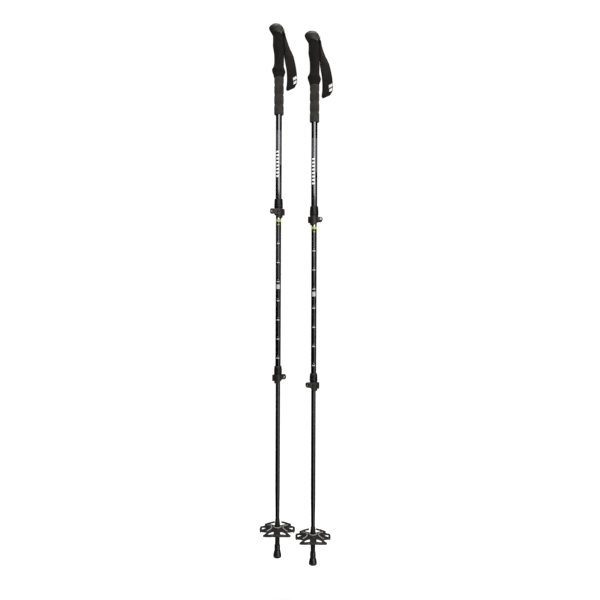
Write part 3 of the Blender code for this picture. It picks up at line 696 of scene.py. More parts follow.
FOAM = foam_material("grip_foam_look", 0.002, 0.008, 0.12)
RIBBED_FOAM = foam_material("grip_extension_look", 0.014, 0.036, 0.12)
CAP = moulded_material("head_cap_look", 0.012, 0.026, 0.42, warmth=0.07)
# pale grey plastic: on the strap wedge this paleness is a painted highlight where the strap leaves the cap;
# the strap pin shares it
PALE_PLASTIC_HIGHLIGHT = moulded_material("pale_plastic_highlight_look", 0.09, 0.14, 0.45)
# the lock's edges carry a faint painted highlight
LOCK = moulded_material("lock_look", 0.004, 0.012, 0.3, warmth=0.1, edge_highlight=0.02)
INNER = moulded_material("inner_plastic_look", 0.012, 0.02, 0.6)
# the basket's edges carry a strong painted highlight
BASKET = moulded_material("basket_look", 0.014, 0.03, 0.3, 1600.0, 0.04, warmth=0.05, edge_highlight=0.6)
# painted highlight: the basket's ribs and hub ring are painted pale grey where the dark plastic would catch
# the top light
BASKET_RIB_HIGHLIGHT = moulded_material("basket_rib_highlight_look", 0.3, 0.42, 0.4, 1600.0, 0.04, warmth=0.04)
FERRULE = moulded_material("ferrule_look", 0.008, 0.016, 0.3)
RUBBER = rubber_material()
STEEL = steel_material()
CARBIDE = carbide_material()
WEBBING = webbing_material()
BADGE = badge_material()
UPPER_TUBE = upper_tube_material()
MIDDLE_TUBE = middle_tube_material()
LOWER_TUBE = lower_tube_material()


# ======== grip and head ========


def seam(x):
    """The height of the joint between the foam grip and the head cap, at x."""
    return along(SEAM_POINTS, x)


def bore_ring(height):
    """A round ring of points, as wide as the hole through the foam."""
    return oval(height, -FOAM_BORE_R, FOAM_BORE_R, FOAM_BORE_R, 2)


def pocket_mesh():
    low = (POCKET_FRONT, -POCKET_HALF_WIDTH, POCKET_FLOOR)
    return box("pocket", low, (30, POCKET_HALF_WIDTH, POCKET_ROOF))


def head_cap_mesh():
    """The cap's dome and beak, with the strap's pocket, the pin's holes and the socket for the plug."""

    def under(x):
        return seam(x) + SEAM_GAP

    flat = [oval(under, -3.0, 3.0, 3.0), bore_ring(under), oval(under, -16.4, 13.2, 13.4)]
    dome = [
        (under, -17.9, 14.5, 15.1), (1376.4, -20.7, 14.3, 15.7), (1381.6, -24.2, 13.7, 16.2),
        (1385.2, -26.0, 12.4, 16.5), (1389.9, -26.7, 9.9, 15.6), (1395.0, -22.9, 4.6, 12.2, 2.2),
        (1398.6, -17.5, -0.8, 7.6, 2), (1399.9, -11.5, -6.5, 2.2, 2),
    ]
    mesh = skinned("head_cap", flat + refined([oval(*row) for row in dome], 6))
    x, z = STRAP_PIN
    pin_hole = rod("pin_hole", STRAP_PIN_R + 0.1, (x, -20, z), (x, 20, z))
    socket = rod("head_socket", 6.4, (0, 0, 1362), (0, 0, 1384.7), SIDES)
    return carved(mesh, cut=[pocket_mesh(), pin_hole, socket], bevel=0.35)


def head_plug_mesh():
    profile = [(0, 1384.2), (6.0, 1384.2), (6.0, 1365.2), (7.9, 1365.2)]
    profile += [(7.9, 1362.4), (6.9, 1362.4), (6.9, 1352.0), (0, 1352.0)]
    flat = box("plug_flat", (POCKET_FRONT - 0.5, -9, 1365.6), (9, 9, 1390))
    return carved(turned("head_plug", profile, ease=0.3), cut=[flat])


def grip_foam_mesh():
    """The upper foam grip: a palm swell, a waist for the fingers and a ledge at the bottom."""
    outline = [
        (1366.0, -16.6, 12.6, 14.4), (1358.0, -16.4, 13.4, 14.6),
        (1350.0, -16.5, 13.5, 14.6), (1342.6, -16.8, 13.5, 14.6),
        (1332.0, -15.1, 13.4, 14.2), (1320.0, -13.3, 13.2, 13.8),
        (1307.0, -12.9, 13.0, 13.5), (1295.0, -13.1, 12.8, 13.4),
        (1287.0, -14.8, 12.9, 13.8), (1279.6, -18.6, 15.2, 15.6),
        (1274.0, -17.8, 16.7, 15.9), (1268.0, -15.6, 15.0, 14.6),
        (1262.0, -14.1, 12.9, 13.2), (GRIP_BOTTOM + 0.6, -13.6, 12.1, 12.8),
    ]
    top = oval(seam, -16.2, 11.2, 13.2)
    rim = oval(lambda x: seam(x) - 0.7, -16.9, 11.9, 13.9)
    outer = refined([rim] + [oval(*row) for row in outline], 5)
    inner = [oval(GRIP_BOTTOM, -12.9, 11.4, 12.1), bore_ring(GRIP_BOTTOM), bore_ring(seam)]
    mesh = skinned("grip_foam", [top] + outer + inner, closed=True)
    return carved(mesh, cut=[pocket_mesh()])


def grip_extension_mesh():
    """The foam sleeve below the grip, with three shallow grooves."""
    rows = []
    height = EXTENSION_TOP
    while height > EXTENSION_BOTTOM:
        phase = (height - TOP_GROOVE) / GROOVE_PITCH
        near = abs(phase - round(phase)) * GROOVE_PITCH
        groove = -GROOVES < round(phase) <= 0
        dip = GROOVE_DEPTH * max(0.0, 1 - near / GROOVE_REACH) ** 1.2 if groove else 0.0
        rows.append((EXTENSION_R - dip, height))
        height -= EXTENSION_STEP
    profile = [(11.4, EXTENSION_TOP), (12.2, EXTENSION_TOP - 0.5)] + rows[2:-2]
    profile += [(12.2, EXTENSION_BOTTOM + 0.6), (11.3, EXTENSION_BOTTOM)]
    profile += [(FOAM_BORE_R, EXTENSION_BOTTOM), (FOAM_BORE_R, EXTENSION_TOP)]
    return turned("grip_extension", profile, GRIP_SIDES)


def strap_wedge_mesh():
    outline = [(4.5, 1379.3), (12.6, 1376.9), (14.6, 1378.4), (13.6, 1381.9), (4.5, 1381.9)]
    return slab("strap_wedge", [rounded(outline, 1.0)], -12.4, 12.4, 0.4, facing="Y")


# ======== strap ========


STRAP_SPINE = [
    (6.5, 1372.5), (10.5, 1372.3), (14.0, 1370.6), (16.0, 1366.8), (16.7, 1360.0),
    (17.9, 1350.0), (20.5, 1337.5), (24.2, 1321.0), (27.2, 1306.0), (31.2, 1286.0),
    (33.3, 1268.0), (33.8, 1250.0), (32.8, 1236.0),
]
# values in the tables below go with places along the strap: 0 at the pin, 1 where its end folds
STRAP_TWIST = [
    (0.0, 0.0), (0.17, 0.0), (0.25, 5.0), (0.33, 14.0), (0.42, 24.0), (0.5, 33.0),
    (0.58, 55.0), (0.67, 84.0), (0.75, 90.0),
]
STRAP_GAP = [
    (0.0, 5.5), (0.06, 5.3), (0.17, 2.1), (0.42, 2.2), (0.56, 3.2), (0.63, 6.5),
    (0.8, 19.0), (1.0, 14.0),
]
STRAP_SKEW = [(0.6, 0.0), (1.0, 2.0)]
STRAP_TILT = [(0.72, 0.0), (1.0, 0.55)]
STRAP_FOLD_DEPTH = 7.0
STRAP_FOLD_NARROWING = 0.3
STRAP_STATIONS = 90
BADGE_RUN = (0.885, 0.998)
BADGE_ACROSS = (1.2, 11.2)
BADGE_THICKNESS = 0.9
BADGE_STEPS = 10
BADGE_SIDES = 16


def spine_at(t):
    """A point of the strap's middle line and its direction."""
    last = len(STRAP_SPINE) - 1
    i = min(int(t * last), last - 1)
    s = t * last - i
    a, b, c, d = [Vector((x, 0, z)) for x, z in four_around(STRAP_SPINE, i)]
    slope = 0.5 * ((c - a) + 2 * (2 * a - 5 * b + 4 * c - d) * s + 3 * (3 * b - a - 3 * c + d) * s**2)
    return blend_points(a, b, c, d, s), slope.normalized()


def strap_frame(t):
    """The middle line's point and direction, the way across the layers, and the way along the width."""
    point, ahead = spine_at(t)
    square = Vector((-ahead.z, 0, ahead.x))
    side = Vector((0, 1, 0))
    twist = math.radians(along(STRAP_TWIST, t))
    across = square * math.cos(twist) - side * math.sin(twist)
    width = square * math.sin(twist) + side * math.cos(twist)
    return point, ahead, across, width


def strap_leg(t, layer):
    """The centre, the way across and the way along the width of a layer of the strap, 1 or -1."""
    point, ahead, across, width = strap_frame(t)
    centre = point + across * layer * along(STRAP_GAP, t) / 2 + width * layer * along(STRAP_SKEW, t)
    return centre, across * layer, width - ahead * along(STRAP_TILT, t)


def strap_path():
    """The webbing's closed path: down one layer, round the fold, up the other and round the pin."""
    stations = [strap_leg(i / STRAP_STATIONS, 1) for i in range(STRAP_STATIONS + 1)]
    point, ahead, across, width = strap_frame(1.0)
    half_gap = along(STRAP_GAP, 1.0) / 2
    skew = along(STRAP_SKEW, 1.0)
    for degrees in range(12, 180, 12):
        a = math.radians(degrees)
        sideways = (across * half_gap + width * skew) * math.cos(a)
        centre = point + ahead * STRAP_FOLD_DEPTH * math.sin(a) + sideways
        out = (across * math.cos(a) * STRAP_FOLD_DEPTH + ahead * math.sin(a) * half_gap).normalized()
        narrowing = 1 - STRAP_FOLD_NARROWING * math.sin(a)
        stations.append((centre, out, (width - ahead * along(STRAP_TILT, 1.0)) * narrowing))
    stations += [strap_leg(i / STRAP_STATIONS, -1) for i in range(STRAP_STATIONS, -1, -1)]
    point, ahead, across, width = strap_frame(0.0)
    for degrees in range(-72, 73, 18):
        a = math.radians(degrees)
        out = across * math.sin(a) - ahead * math.cos(a)
        stations.append((point + out * STRAP_WRAP_R, out, width))
    return stations


def band_section():
    """The webbing's section, as shares of its half width and half thickness, with round selvedges."""
    half = [(s / 6, 1.0) for s in range(-5, 6)]
    turns = [math.radians(angle) for angle in (60, 25, -25, -60)]
    edge = [(1 - 0.045 * (1 - math.cos(turn)), math.sin(turn)) for turn in turns]
    top = half + edge
    return top + [(-x, -y) for x, y in top]


def keep_values(mesh, name, values):
    """Keep a number for each vertex, which a material reads by name."""
    mesh.attributes.new(name, "FLOAT", "POINT").data.foreach_set("value", values)


def strap_mesh():
    """The wrist strap: one closed band, with its run and width kept as attributes for the weave."""
    section = band_section()
    stations = strap_path()
    rings, runs = [], []
    run = 0.0
    for k, (centre, out, width) in enumerate(stations):
        run += (centre - stations[k - 1][0]).length if k else 0.0
        wide, thick = width * STRAP_WIDTH / 2, out * STRAP_THICKNESS / 2
        rings.append([centre + wide * a + thick * b for a, b in section])
        runs.append(run)
    mesh = skinned("strap", rings, closed=True)
    sides = [a * STRAP_WIDTH / 2 * MM for a, b in section]
    keep_values(mesh, "strap_run", [distance * MM for distance in runs for point in section])
    keep_values(mesh, "strap_across", sides * len(runs))
    return mesh


def badge_mesh():
    """The patch on the strap's front layer near its fold, with its two axes kept for the mark."""
    rings, places = [], []
    lift = STRAP_THICKNESS / 2 + BADGE_THICKNESS / 2 + 0.12
    (t_low, t_high), (low, high) = BADGE_RUN, BADGE_ACROSS
    turns = [2 * math.pi * i / BADGE_SIDES for i in range(BADGE_SIDES)]
    for k in range(BADGE_STEPS + 1):
        down = 2 * k / BADGE_STEPS - 1
        centre, out, width = strap_leg(t_low + (t_high - t_low) * k / BADGE_STEPS, 1)
        half = (high - low) / 2 * (1 - 0.12 * abs(down) ** 6)
        ring = []
        for turn in turns:
            c, s = math.cos(turn), math.sin(turn)
            u = math.copysign(abs(c) ** 0.35, c) * half
            v = math.copysign(abs(s) ** 0.6, s) * BADGE_THICKNESS / 2
            ring.append(centre + width * ((high + low) / 2 + u) + out * (lift + v))
        rings.append(ring)
        places += [(math.cos(turn), down) for turn in turns]
    places += [(0.0, -1.0), (0.0, 1.0)]
    mesh = skinned("strap_badge", rings)
    for index, attribute in enumerate(("badge_across", "badge_down")):
        keep_values(mesh, attribute, [place[index] for place in places])
    return mesh


def make_head(pole):
    pole.piece("head_cap", head_cap_mesh(), CAP, "cap_plastic", "upper")
    pole.piece("head_plug", head_plug_mesh(), INNER, "inner_plastic", "upper")
    foam = pole.piece("grip_foam", grip_foam_mesh(), FOAM, "grip_foam", "upper")
    ribbed = grip_extension_mesh()
    foam = pole.piece("grip_extension", ribbed, RIBBED_FOAM, "extension_foam", "upper")
    x, z = STRAP_PIN
    pin = rod("strap_pin", STRAP_PIN_R, (x, -15.6, z), (x, 15.6, z), ease=0.3)
    pole.piece("strap_pin", pin, PALE_PLASTIC_HIGHLIGHT, "light_plastic", "upper")
    pole.piece("strap_wedge", strap_wedge_mesh(), PALE_PLASTIC_HIGHLIGHT, "light_plastic", "strap_wedge")
    pole.piece("strap", strap_mesh(), WEBBING, "webbing", "strap")
    pole.piece("strap_badge", badge_mesh(), BADGE, "badge_rubber", "strap")


# ======== tubes ========


def tube_mesh(name, outer):
    """A tube from its outer (r, height) points, top first, with a bore and eased ends."""
    profile = outer + [(r - WALL, z) for r, z in reversed(outer)]
    return turned(name, profile, ease=0.2)


def make_tubes(pole):
    upper = [(UPPER_R, UPPER_TUBE_TOP), (UPPER_R, UPPER_LOCK + TUBE_SEAT)]
    middle = [(MIDDLE_R, MIDDLE_TUBE_TOP), (MIDDLE_R, LOWER_LOCK + TUBE_SEAT)]
    lower = [(LOWER_R, LOWER_TUBE_TOP), (LOWER_R, TAPER_TOP)]
    lower += [(TAPERED_R, FERRULE_TOP), (TAPERED_R, LOWER_TUBE_BOTTOM)]
    tubes = (("upper", upper, UPPER_TUBE), ("middle", middle, MIDDLE_TUBE), ("lower", lower, LOWER_TUBE))
    for name, outer, paint in tubes:
        node = f"{name}_tube"
        pole.piece(node, tube_mesh(node, outer), paint, "anodised_black", name)


def make_guides(pole):
    for name, top, radius in (("middle", MIDDLE_TUBE_TOP, MIDDLE_R), ("lower", LOWER_TUBE_TOP, LOWER_R)):
        bore = radius - WALL
        profile = [
            (radius + 0.06, top + 3.0), (radius + 0.06, top + 0.4),
            (bore - 0.35, top + 0.4), (bore - 0.35, top - 9.0), (bore - 2.0, top - 9.0),
            (bore - 2.0, top + 3.0),
        ]
        node = f"{name}_guide"
        pole.piece(node, turned(node, profile, ease=0.15), INNER, "inner_plastic", name)


# ======== locks ========


class Lock:
    """The sizes of a lever lock, drawn round its screw's height, with ears at -X and lever in front."""

    def __init__(self, outer_r, inner_r, sleeve):
        self.outer_r = outer_r
        self.inner_r = inner_r
        self.sleeve = sleeve
        self.ear = inner_r + EAR_REACH
        self.band_r = inner_r + BAND_REACH
        self.pin = (-self.ear, -PIN_SETBACK)


def clamp_mesh(lock):
    """The clamp: a sleeve with a bead over the outer tube's end, and a split band with two ears."""
    base, top = lock.outer_r, lock.sleeve
    outside = [
        (base + 2.0, top), (base + 2.8, top - 3.0), (base + 3.4, 17.0), (base + 2.8, 15.6),
        (base + 3.6, 14.2), (base + 3.6, 11.6), (base + 2.8, 9.4), (base + 2.8, 7.9),
        (lock.band_r, 7.0), (lock.band_r, CLAMP_BOTTOM),
    ]
    bore = lock.outer_r + FIT
    waist = lock.inner_r + FIT
    step = TUBE_SEAT - 0.4
    inside = [(waist, CLAMP_BOTTOM), (waist, step), (bore, step), (bore, top)]
    mesh = turned("clamp", rounded(outside, 0.9, 4, closed=False) + inside)
    web_half = EAR_R - 0.05
    web = box("web", (-lock.ear, -EAR_FRONT, -web_half), (-lock.inner_r - 1.5, EAR_BACK, web_half))
    boss = rod("boss", EAR_R, (-lock.ear, -EAR_FRONT, 0), (-lock.ear, EAR_BACK, 0), SIDES)
    low_edge = [(-30, -7.2), (-10.5, -7.2), (0.5, -16.2), (7.0, -16.2), (14, -13.5), (30, -13.5)]
    edge = rounded(low_edge, 3.0, 4, closed=False) + [(30, 60), (-30, 60)]
    slit = box("slit", (-30, -0.9, -30), (-4, 0.9, 7.4))
    relief = box("relief", (-30, -30, 6.6), (-1.5, 30, 7.4))
    hole = rod("screw_hole", SCREW_R + PLAY, (-lock.ear, -20, 0), (-lock.ear, 20, 0))
    seat = rod("screw_seat", SCREW_HEAD_R + FIT, (-lock.ear, 3.2, 0), (-lock.ear, 20, 0), SIDES)
    keep = slab("edge", [edge], -30, 30, facing="Y")
    return carved(mesh, add=[web, boss], keep=[keep], cut=[slit, relief, seat, hole], bevel=0.3)


def lever_outline(lock):
    """The lever from above: a prong disc, an arm round the front of the band, and a flared finger tab."""
    inner = lock.band_r + 0.4
    outer = inner + LEVER_THICKNESS
    prong = arc(lock.pin, PRONG_R, 20, 270, 40)
    front = arc((0, 0), outer, 258, 338, 30)
    tab = [(outer + 1.4, -3.9), (outer + 3.0, -1.6), (outer + 2.6, 0.6), (outer + 0.8, -0.6)]
    back = arc((0, 0), inner, 350, 236, 40)
    return prong + front + rounded(tab, 1.2, 4, closed=False) + back


def lever_mesh(lock):
    """The cam lever, forked round the tension screw, with a window in its arm."""
    tip = lock.band_r + 6.5
    end = -lock.ear - PRONG_R - 0.3
    high_edge = [(end, 3.6), (end + 3.4, 7), (tip - 4, 7), (tip, 4.6), (tip + 9, 4.6)]
    edge = high_edge + [(tip + 9, -9.0), (5, -11.4), (-12.6, -6.7), (end + 3.4, -6.7), (end, -3.3)]
    keep = slab("lever_edge", [rounded(edge, 2.6, 5)], -30, 30, facing="Y")
    fork = box("fork", (-30, -30, -2.6), (5.0 - lock.ear, 0, 2.6))
    window = box("window", (-4.6, -20, -4.6), (3.4, -lock.inner_r, -1.7), 0.6)
    x, y = lock.pin
    hole = rod("lever_hole", PIN_R + PLAY, (x, y, -20), (x, y, 20))
    lever = slab("lever", [lever_outline(lock)], -12, 6.6)
    return carved(lever, keep=[keep], cut=[fork, window, hole], bevel=0.35)


def lever_pin_mesh(lock):
    x, y = lock.pin
    drilled = rod("pin_drilling", SCREW_R + PLAY, (-lock.ear, -20, 0), (-lock.ear, 0, 0))
    return carved(rod("lever_pin", PIN_R, (x, y, -6.4), (x, y, 6.3), ease=0.4), cut=[drilled])


def screw_mesh(lock):
    """The tension screw, with a hexagon socket in its head and a threaded end."""
    profile = [(0, 6.3), (2.6, 6.3), (SCREW_HEAD_R, 5.8), (SCREW_HEAD_R, 3.6)]
    profile += [(SCREW_R, 3.6), (SCREW_R, -2.0)]
    for turn in range(THREAD_TURNS):
        crest = -2.2 - turn * THREAD_PITCH
        profile += [(SCREW_R, crest), (SCREW_R - 0.22, crest - THREAD_PITCH / 2)]
    profile += [(SCREW_R - 0.25, -12.4), (0, -12.4)]
    screw = turned("screw", profile, SMALL_SIDES)
    screw.transform(Matrix.Rotation(-math.pi / 2, 4, "X"))
    socket = rod("screw_socket", 1.35, (0, 5.2, 0), (0, 9, 0), 6)
    mesh = carved(screw, cut=[socket])
    mesh.transform(Matrix.Translation((-lock.ear * MM, 0, 0)))
    return mesh


def make_lock(place, name, body, lock):
    place.piece(f"{name}_clamp", clamp_mesh(lock), LOCK, "lock_plastic", body)
    place.piece(f"{name}_lever", lever_mesh(lock), LOCK, "lock_plastic", f"{name}_lever")
    place.piece(f"{name}_lever_pin", lever_pin_mesh(lock), STEEL, "steel", body)
    place.piece(f"{name}_screw", screw_mesh(lock), STEEL, "steel", f"{name}_screw")


# ======== basket and tip ========


# ---- how far the rims and corners of its lobes reach, in millimetres, and its lip ----
RIM_SIDE = 46.2
SIDE_CORNER = (44.0, 16.3)
BROAD_CORNER = (35.4, 37.8)
RIM_BROAD = 48.4
LIP_WIDTH = 2.2
LIP_HEIGHT = 4.4
LIP_SPREAD = 1.004
BASKET_CELL = 2.5


def rim_arc(start, peak, end, count, inset=0.0):
    """Points on the circle through start, peak and end, moved towards its centre by inset."""
    (ax, ay), (bx, by), (cx, cy) = start, peak, end
    d = 2 * (ax * (by - cy) + bx * (cy - ay) + cx * (ay - by))
    a2, b2, c2 = ax * ax + ay * ay, bx * bx + by * by, cx * cx + cy * cy
    centre = (
        (a2 * (by - cy) + b2 * (cy - ay) + c2 * (ay - by)) / d,
        (a2 * (cx - bx) + b2 * (ax - cx) + c2 * (bx - ax)) / d,
    )
    radius = math.dist(centre, start) - inset
    first = math.degrees(math.atan2(ay - centre[1], ax - centre[0]))
    last = math.degrees(math.atan2(cy - centre[1], cx - centre[0]))
    return arc(centre, radius, first, last, count)


def mirrored(points):
    """The same points with x reversed, in the opposite order."""
    return [(-x, y) for x, y in reversed(points)]


def flipped(points):
    """The same points with y reversed, in the opposite order."""
    return [(x, -y) for x, y in reversed(points)]


def side_rim(inset=0.0):
    """The rim of the lobe at +X, from front to back."""
    x, y = SIDE_CORNER
    return rim_arc((x, -y), (RIM_SIDE, 0), (x, y), 13, inset)


def front_rim(inset=0.0):
    """The rim of the front lobe, from corner to corner."""
    x, y = BROAD_CORNER
    return rim_arc((-x, -y), (0, -RIM_BROAD), (x, -y), 25, inset)


def horn_rim(inset=0.0):
    """The rim of the rear claw's horn at +X, from its corner to where its hook starts."""
    x, y = BROAD_CORNER
    return rim_arc((x, y), (0, RIM_BROAD), (-x, y), 33, inset)[:13]


def basket_outlines():
    """The basket from above: four lobes, the rear one a claw with hooked horns, and four windows."""
    hook = rounded([(10.6, 47.0), (9.2, 43.4), (10.8, 41.2), (13.0, 43.0)], 0.7, 3, closed=False)
    claw = [(20.5, 40.6), (27.0, 36.2), (21.0, 29.0), (13.5, 20.0), (6.0, 14.0)]
    claw = rounded(claw, 2.5, 3, closed=False)
    x, y = BROAD_CORNER
    front = rim_arc((0, -RIM_BROAD), (24.0, -43.6), (x, -y), 13)
    notch = [(24.8, 25.2), (23.0, 22.6)]
    half = front + flipped(notch) + side_rim() + notch + horn_rim() + hook + claw
    outer = half + mirrored(half)[:-1]
    side_window = rounded([(39.6, -8.0), (41.2, 0), (39.6, 8.0), (29.5, 2.0), (29.5, -2.0)], 1.0, 3)
    front_window = [(8.6, -40.5), (20.5, -39.0), (26.0, -35.8), (17.5, -27.6), (12.0, -25.4), (8.6, -25.2)]
    front_window = rounded(front_window, 1.2, 3)
    return [outer, side_window, mirrored(side_window), front_window, mirrored(front_window)]


def dome_height(x, y):
    """The height of the basket's upper surface: a dome that droops at the lobes' corners."""
    r = math.hypot(x, y)
    far = (r / RIM_BROAD) ** 2
    broad = y * y / (r * r) if r else 0.0
    corner = 4 * x * x * y * y / r**4 if r else 0.0
    return HUB_TOP - 1.8 - 4.7 * far**0.75 + far * (1.5 * broad - 2.6 * corner)


def domed(mesh):
    """Bend a flat mesh, made round height 0, over the dome."""
    for v in mesh.vertices:
        v.co.z += dome_height(v.co.x / MM, v.co.y / MM) * MM
    return mesh


def strip(path, width):
    """The outline of a band of even width along an open path, with round ends."""
    left, right = [], []
    for i, point in enumerate(path):
        before = Vector(path[max(0, i - 1)])
        after = Vector(path[min(len(path) - 1, i + 1)])
        ahead = (after - before).normalized()
        aside = Vector((-ahead.y, ahead.x)) * width / 2
        left.append(tuple(Vector(point) + aside))
        right.append(tuple(Vector(point) - aside))
    return left + right[::-1]


def lip_outlines():
    """The five stretches of rim that carry the lip, as bands."""
    side, front, horn = [rim() + rim(LIP_WIDTH)[::-1] for rim in (side_rim, front_rim, horn_rim)]
    return [side, mirrored(side), front, horn, mirrored(horn)]


def hub_mesh():
    hub = [
        (10.2, HUB_TOP), (12.4, HUB_TOP - 1.0), (12.4, HUB_TOP - 6.0), (9.6, HUB_TOP - 8.5),
        (9.6, HUB_TOP - 15.0), (5.0, HUB_TOP - 15.0), (5.0, HUB_TOP - 1.6),
        (9.0, HUB_TOP - 1.6),
    ]
    return turned("hub", hub, ease=0.4)


def basket_mesh():
    """The basket: a domed plate, a lip along each stretch of rim, and a hub round the ferrule."""
    lips = []
    for outline in lip_outlines():
        outline = [(x * LIP_SPREAD, y * LIP_SPREAD) for x, y in outline]
        lips.append(domed(slab("lip", [outline], -LIP_HEIGHT, 0.5, 0.2, cell=BASKET_CELL)))
    bore = rod("basket_bore", 6.7, (0, 0, 40), (0, 0, 100), SIDES)
    plate = domed(slab("basket", basket_outlines(), -2.4, 0.0, 0.35, cell=BASKET_CELL))
    return carved(plate, add=[*lips, hub_mesh()], cut=[bore])


def rib_mesh(direction):
    """A raised, curved rib at the inner end of the side lobe at +X, or at -X for direction -1."""
    outline = strip(arc((38.2, 0), 23.6, 119, 241, 25), 2.0)
    if direction < 0:
        outline = mirrored(outline)
    return domed(slab("basket_rib", [outline], -1.0, 1.3, 0.45, cell=BASKET_CELL))


def hub_ring_mesh():
    """A raised ring on the hub's upper rim, painted pale as a painted highlight."""
    low, high = HUB_TOP - 0.9, HUB_TOP + 0.5
    return turned("hub_ring", [(9.5, low), (11.1, low), (11.1, high), (9.5, high)], ease=0.5)


def ferrule_mesh():
    profile = [
        (0, LOWER_TUBE_BOTTOM - 0.4), (TAPERED_R + 0.35, LOWER_TUBE_BOTTOM - 0.4),
        (TAPERED_R + 0.35, FERRULE_TOP), (TAPERED_R + 0.6, FERRULE_TOP), (6.75, 89.5),
        (6.75, HUB_TOP - 0.9), (6.2, HUB_TOP - 1.3), (6.2, 14.0), (3.4, 7.5), (1.95, 7.5),
        (1.95, 18.0), (0, 18.0),
    ]
    return turned("ferrule", profile, ease=0.15)


def carbide_mesh():
    """The hard tip: a pin with a hollow-ended crown cut into teeth."""
    profile = [(0, 17.6), (1.6, 17.6), (1.6, 7.2), (2.5, 7.0), (2.5, 4.7), (1.6, 4.7), (0, 5.8)]
    ways = ((4, 0), (0, 4))
    teeth = [rod("tooth_gap", 0.35, (-x, -y, 4.7), (x, y, 4.7), 12) for x, y in ways]
    return carved(turned("carbide_tip", profile, SMALL_SIDES, 0.12), cut=teeth)


def protector_mesh():
    """The rubber boot over the tip, with a flared foot."""
    profile = [
        (0, 4.2), (4.1, 4.2), (4.1, 7.0), (6.55, 13.4), (6.55, PROTECTOR_TOP),
        (7.0, PROTECTOR_TOP), (7.5, PROTECTOR_TOP - 3.5), (7.55, 18.5), (9.3, 13.0),
        (10.7, 5.0), (10.3, 1.2), (9.2, 0), (0, 0),
    ]
    return turned("tip_protector", profile, ease=0.6)


def make_foot(pole):
    pole.piece("basket", basket_mesh(), BASKET, "basket_plastic", "basket")
    # the ribs and the hub ring are painted pale as a painted highlight
    for name, direction in (("rib_a", 1), ("rib_b", -1)):
        pole.piece(f"basket_{name}", rib_mesh(direction), BASKET_RIB_HIGHLIGHT, "basket_plastic", "basket", "basket")
    pole.piece("basket_ring", hub_ring_mesh(), BASKET_RIB_HIGHLIGHT, "basket_plastic", "basket", "basket")
    pole.piece("ferrule", ferrule_mesh(), FERRULE, "ferrule_plastic", "lower")
    pole.piece("carbide_tip", carbide_mesh(), CARBIDE, "carbide", "lower")
    pole.piece("tip_protector", protector_mesh(), RUBBER, "tip_rubber", "tip_protector")


# ======== the pair ========


def make_pole(side):
    pole = Place(side, foot_of(side))
    make_head(pole)
    make_tubes(pole)
    make_guides(pole)
    make_lock(lock_place(side, "upper"), "upper", "upper", Lock(UPPER_R, MIDDLE_R, UPPER_SLEEVE))
    make_lock(lock_place(side, "lower"), "lower", "middle", Lock(MIDDLE_R, LOWER_R, LOWER_SLEEVE))
    make_foot(pole)


for side in ("left", "right"):
    make_pole(side)


# ======== studio ========


# ---- in metres, and radians for the roll ----
FLOOR_DROP = 0.12
FLOOR_SIZE = 80.0
CAMERA_FIELD = 1.576
CAMERA_DISTANCE = 1.52
CAMERA_X = -0.0363
CAMERA_ROLL = -0.0037
CAMERA_HEIGHT = 0.6754
SENSOR_MM = 36.0
FLOOR_GREY = 0.93
SUN_STRENGTH = 3.8
SUN_SPREAD_DEGREES = 60
SUN_TURN_DEGREES = (8, 12, 0)
BACKDROP_STRENGTH = 1.05
ROOM_STRENGTH = 0.022
# each light's name, place, target, width and height in metres, and how bright its face is
SOFTBOXES = [
    ("high_softbox", (0.55, -2.6, 0.66), (0.55, 0, 0.66), (2.9, 1.84), 2.9),
    ("low_strip", (0.6, -2.6, -0.75), (0.6, 0, -0.75), (1.2, 0.98), 0.8),
    ("right_panel", (1.84, -1.84, -1.2), (0, 0, -1.2), (2.8, 2.3), 0.42),
    ("right_strip", (1.3, -2.25, -1.5), (0, 0, -1.5), (0.9, 1.9), 1.6),
]


def make_floor(low):
    """A wide pale floor. Glossy rays pass it by, so that the tubes reflect a dim room and the lights."""
    bm = bmesh.new()
    bmesh.ops.create_grid(bm, x_segments=1, y_segments=1, size=FLOOR_SIZE / 2)
    mesh = finished(bpy.data.meshes.new("floor"), bm)
    floor = placed("floor", mesh)
    floor.location = (0, 0, low - FLOOR_DROP)
    floor.visible_glossy = False
    paint = Paint("floor_look", 0.9)
    paint.colour(paint.mix(paint.noise(3.0), grey(FLOOR_GREY * 0.985), grey(FLOOR_GREY)))
    mesh.materials.append(paint.material)


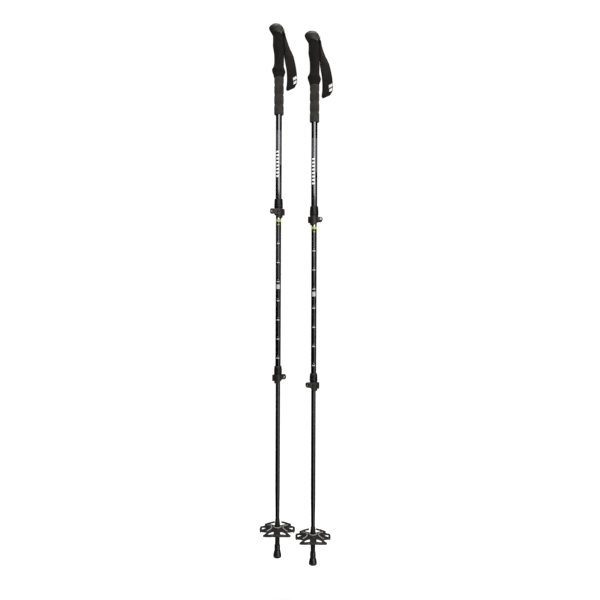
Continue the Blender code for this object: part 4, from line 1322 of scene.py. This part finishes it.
def make_softbox(name, place, target, size, radiance):
    """A rectangular light that the camera can't see."""
    light = bpy.data.lights.new(name, "AREA")
    light.shape = "RECTANGLE"
    light.size, light.size_y = size
    light.energy = math.pi * size[0] * size[1] * radiance
    obj = placed(name, light)
    obj.location = place
    obj.rotation_euler = (Vector(target) - Vector(place)).to_track_quat("-Z", "Y").to_euler()
    obj.visible_camera = False


def make_world():
    """White behind the object, and a dim grey room for its reflections."""
    world = bpy.data.worlds.new("studio")
    bpy.context.scene.world = world
    world.use_nodes = True
    tree = world.node_tree
    tree.nodes.clear()
    rays = tree.nodes.new("ShaderNodeLightPath")
    either = tree.nodes.new("ShaderNodeMixShader")
    tree.links.new(rays.outputs["Is Camera Ray"], either.inputs[0])
    for index, strength in ((1, ROOM_STRENGTH), (2, BACKDROP_STRENGTH)):
        background = tree.nodes.new("ShaderNodeBackground")
        background.inputs["Color"].default_value = (1, 1, 1, 1)
        background.inputs["Strength"].default_value = strength
        tree.links.new(background.outputs[0], either.inputs[index])
    out = tree.nodes.new("ShaderNodeOutputWorld")
    tree.links.new(either.outputs[0], out.inputs["Surface"])


def make_sun():
    light = bpy.data.lights.new("soft_sun", "SUN")
    light.energy = SUN_STRENGTH
    light.angle = math.radians(SUN_SPREAD_DEGREES)
    turns = [math.radians(angle) for angle in SUN_TURN_DEGREES]
    placed("soft_sun", light).rotation_euler = turns


def make_camera(foot):
    camera = bpy.data.cameras.new("camera")
    camera.sensor_width = SENSOR_MM
    camera.lens = SENSOR_MM * CAMERA_DISTANCE / CAMERA_FIELD
    camera.clip_end = 100.0
    obj = placed("camera", camera)
    obj.location = (CAMERA_X, -CAMERA_DISTANCE, foot.z + CAMERA_HEIGHT)
    obj.rotation_euler = (math.pi / 2, CAMERA_ROLL, 0)
    bpy.context.scene.camera = obj


low = Vector(CAD_BOX[0]).z
make_camera(foot_of("left"))
make_floor(low)
make_world()
make_sun()
for light in SOFTBOXES:
    make_softbox(*light)
bpy.context.scene.view_settings.view_transform = "Standard"
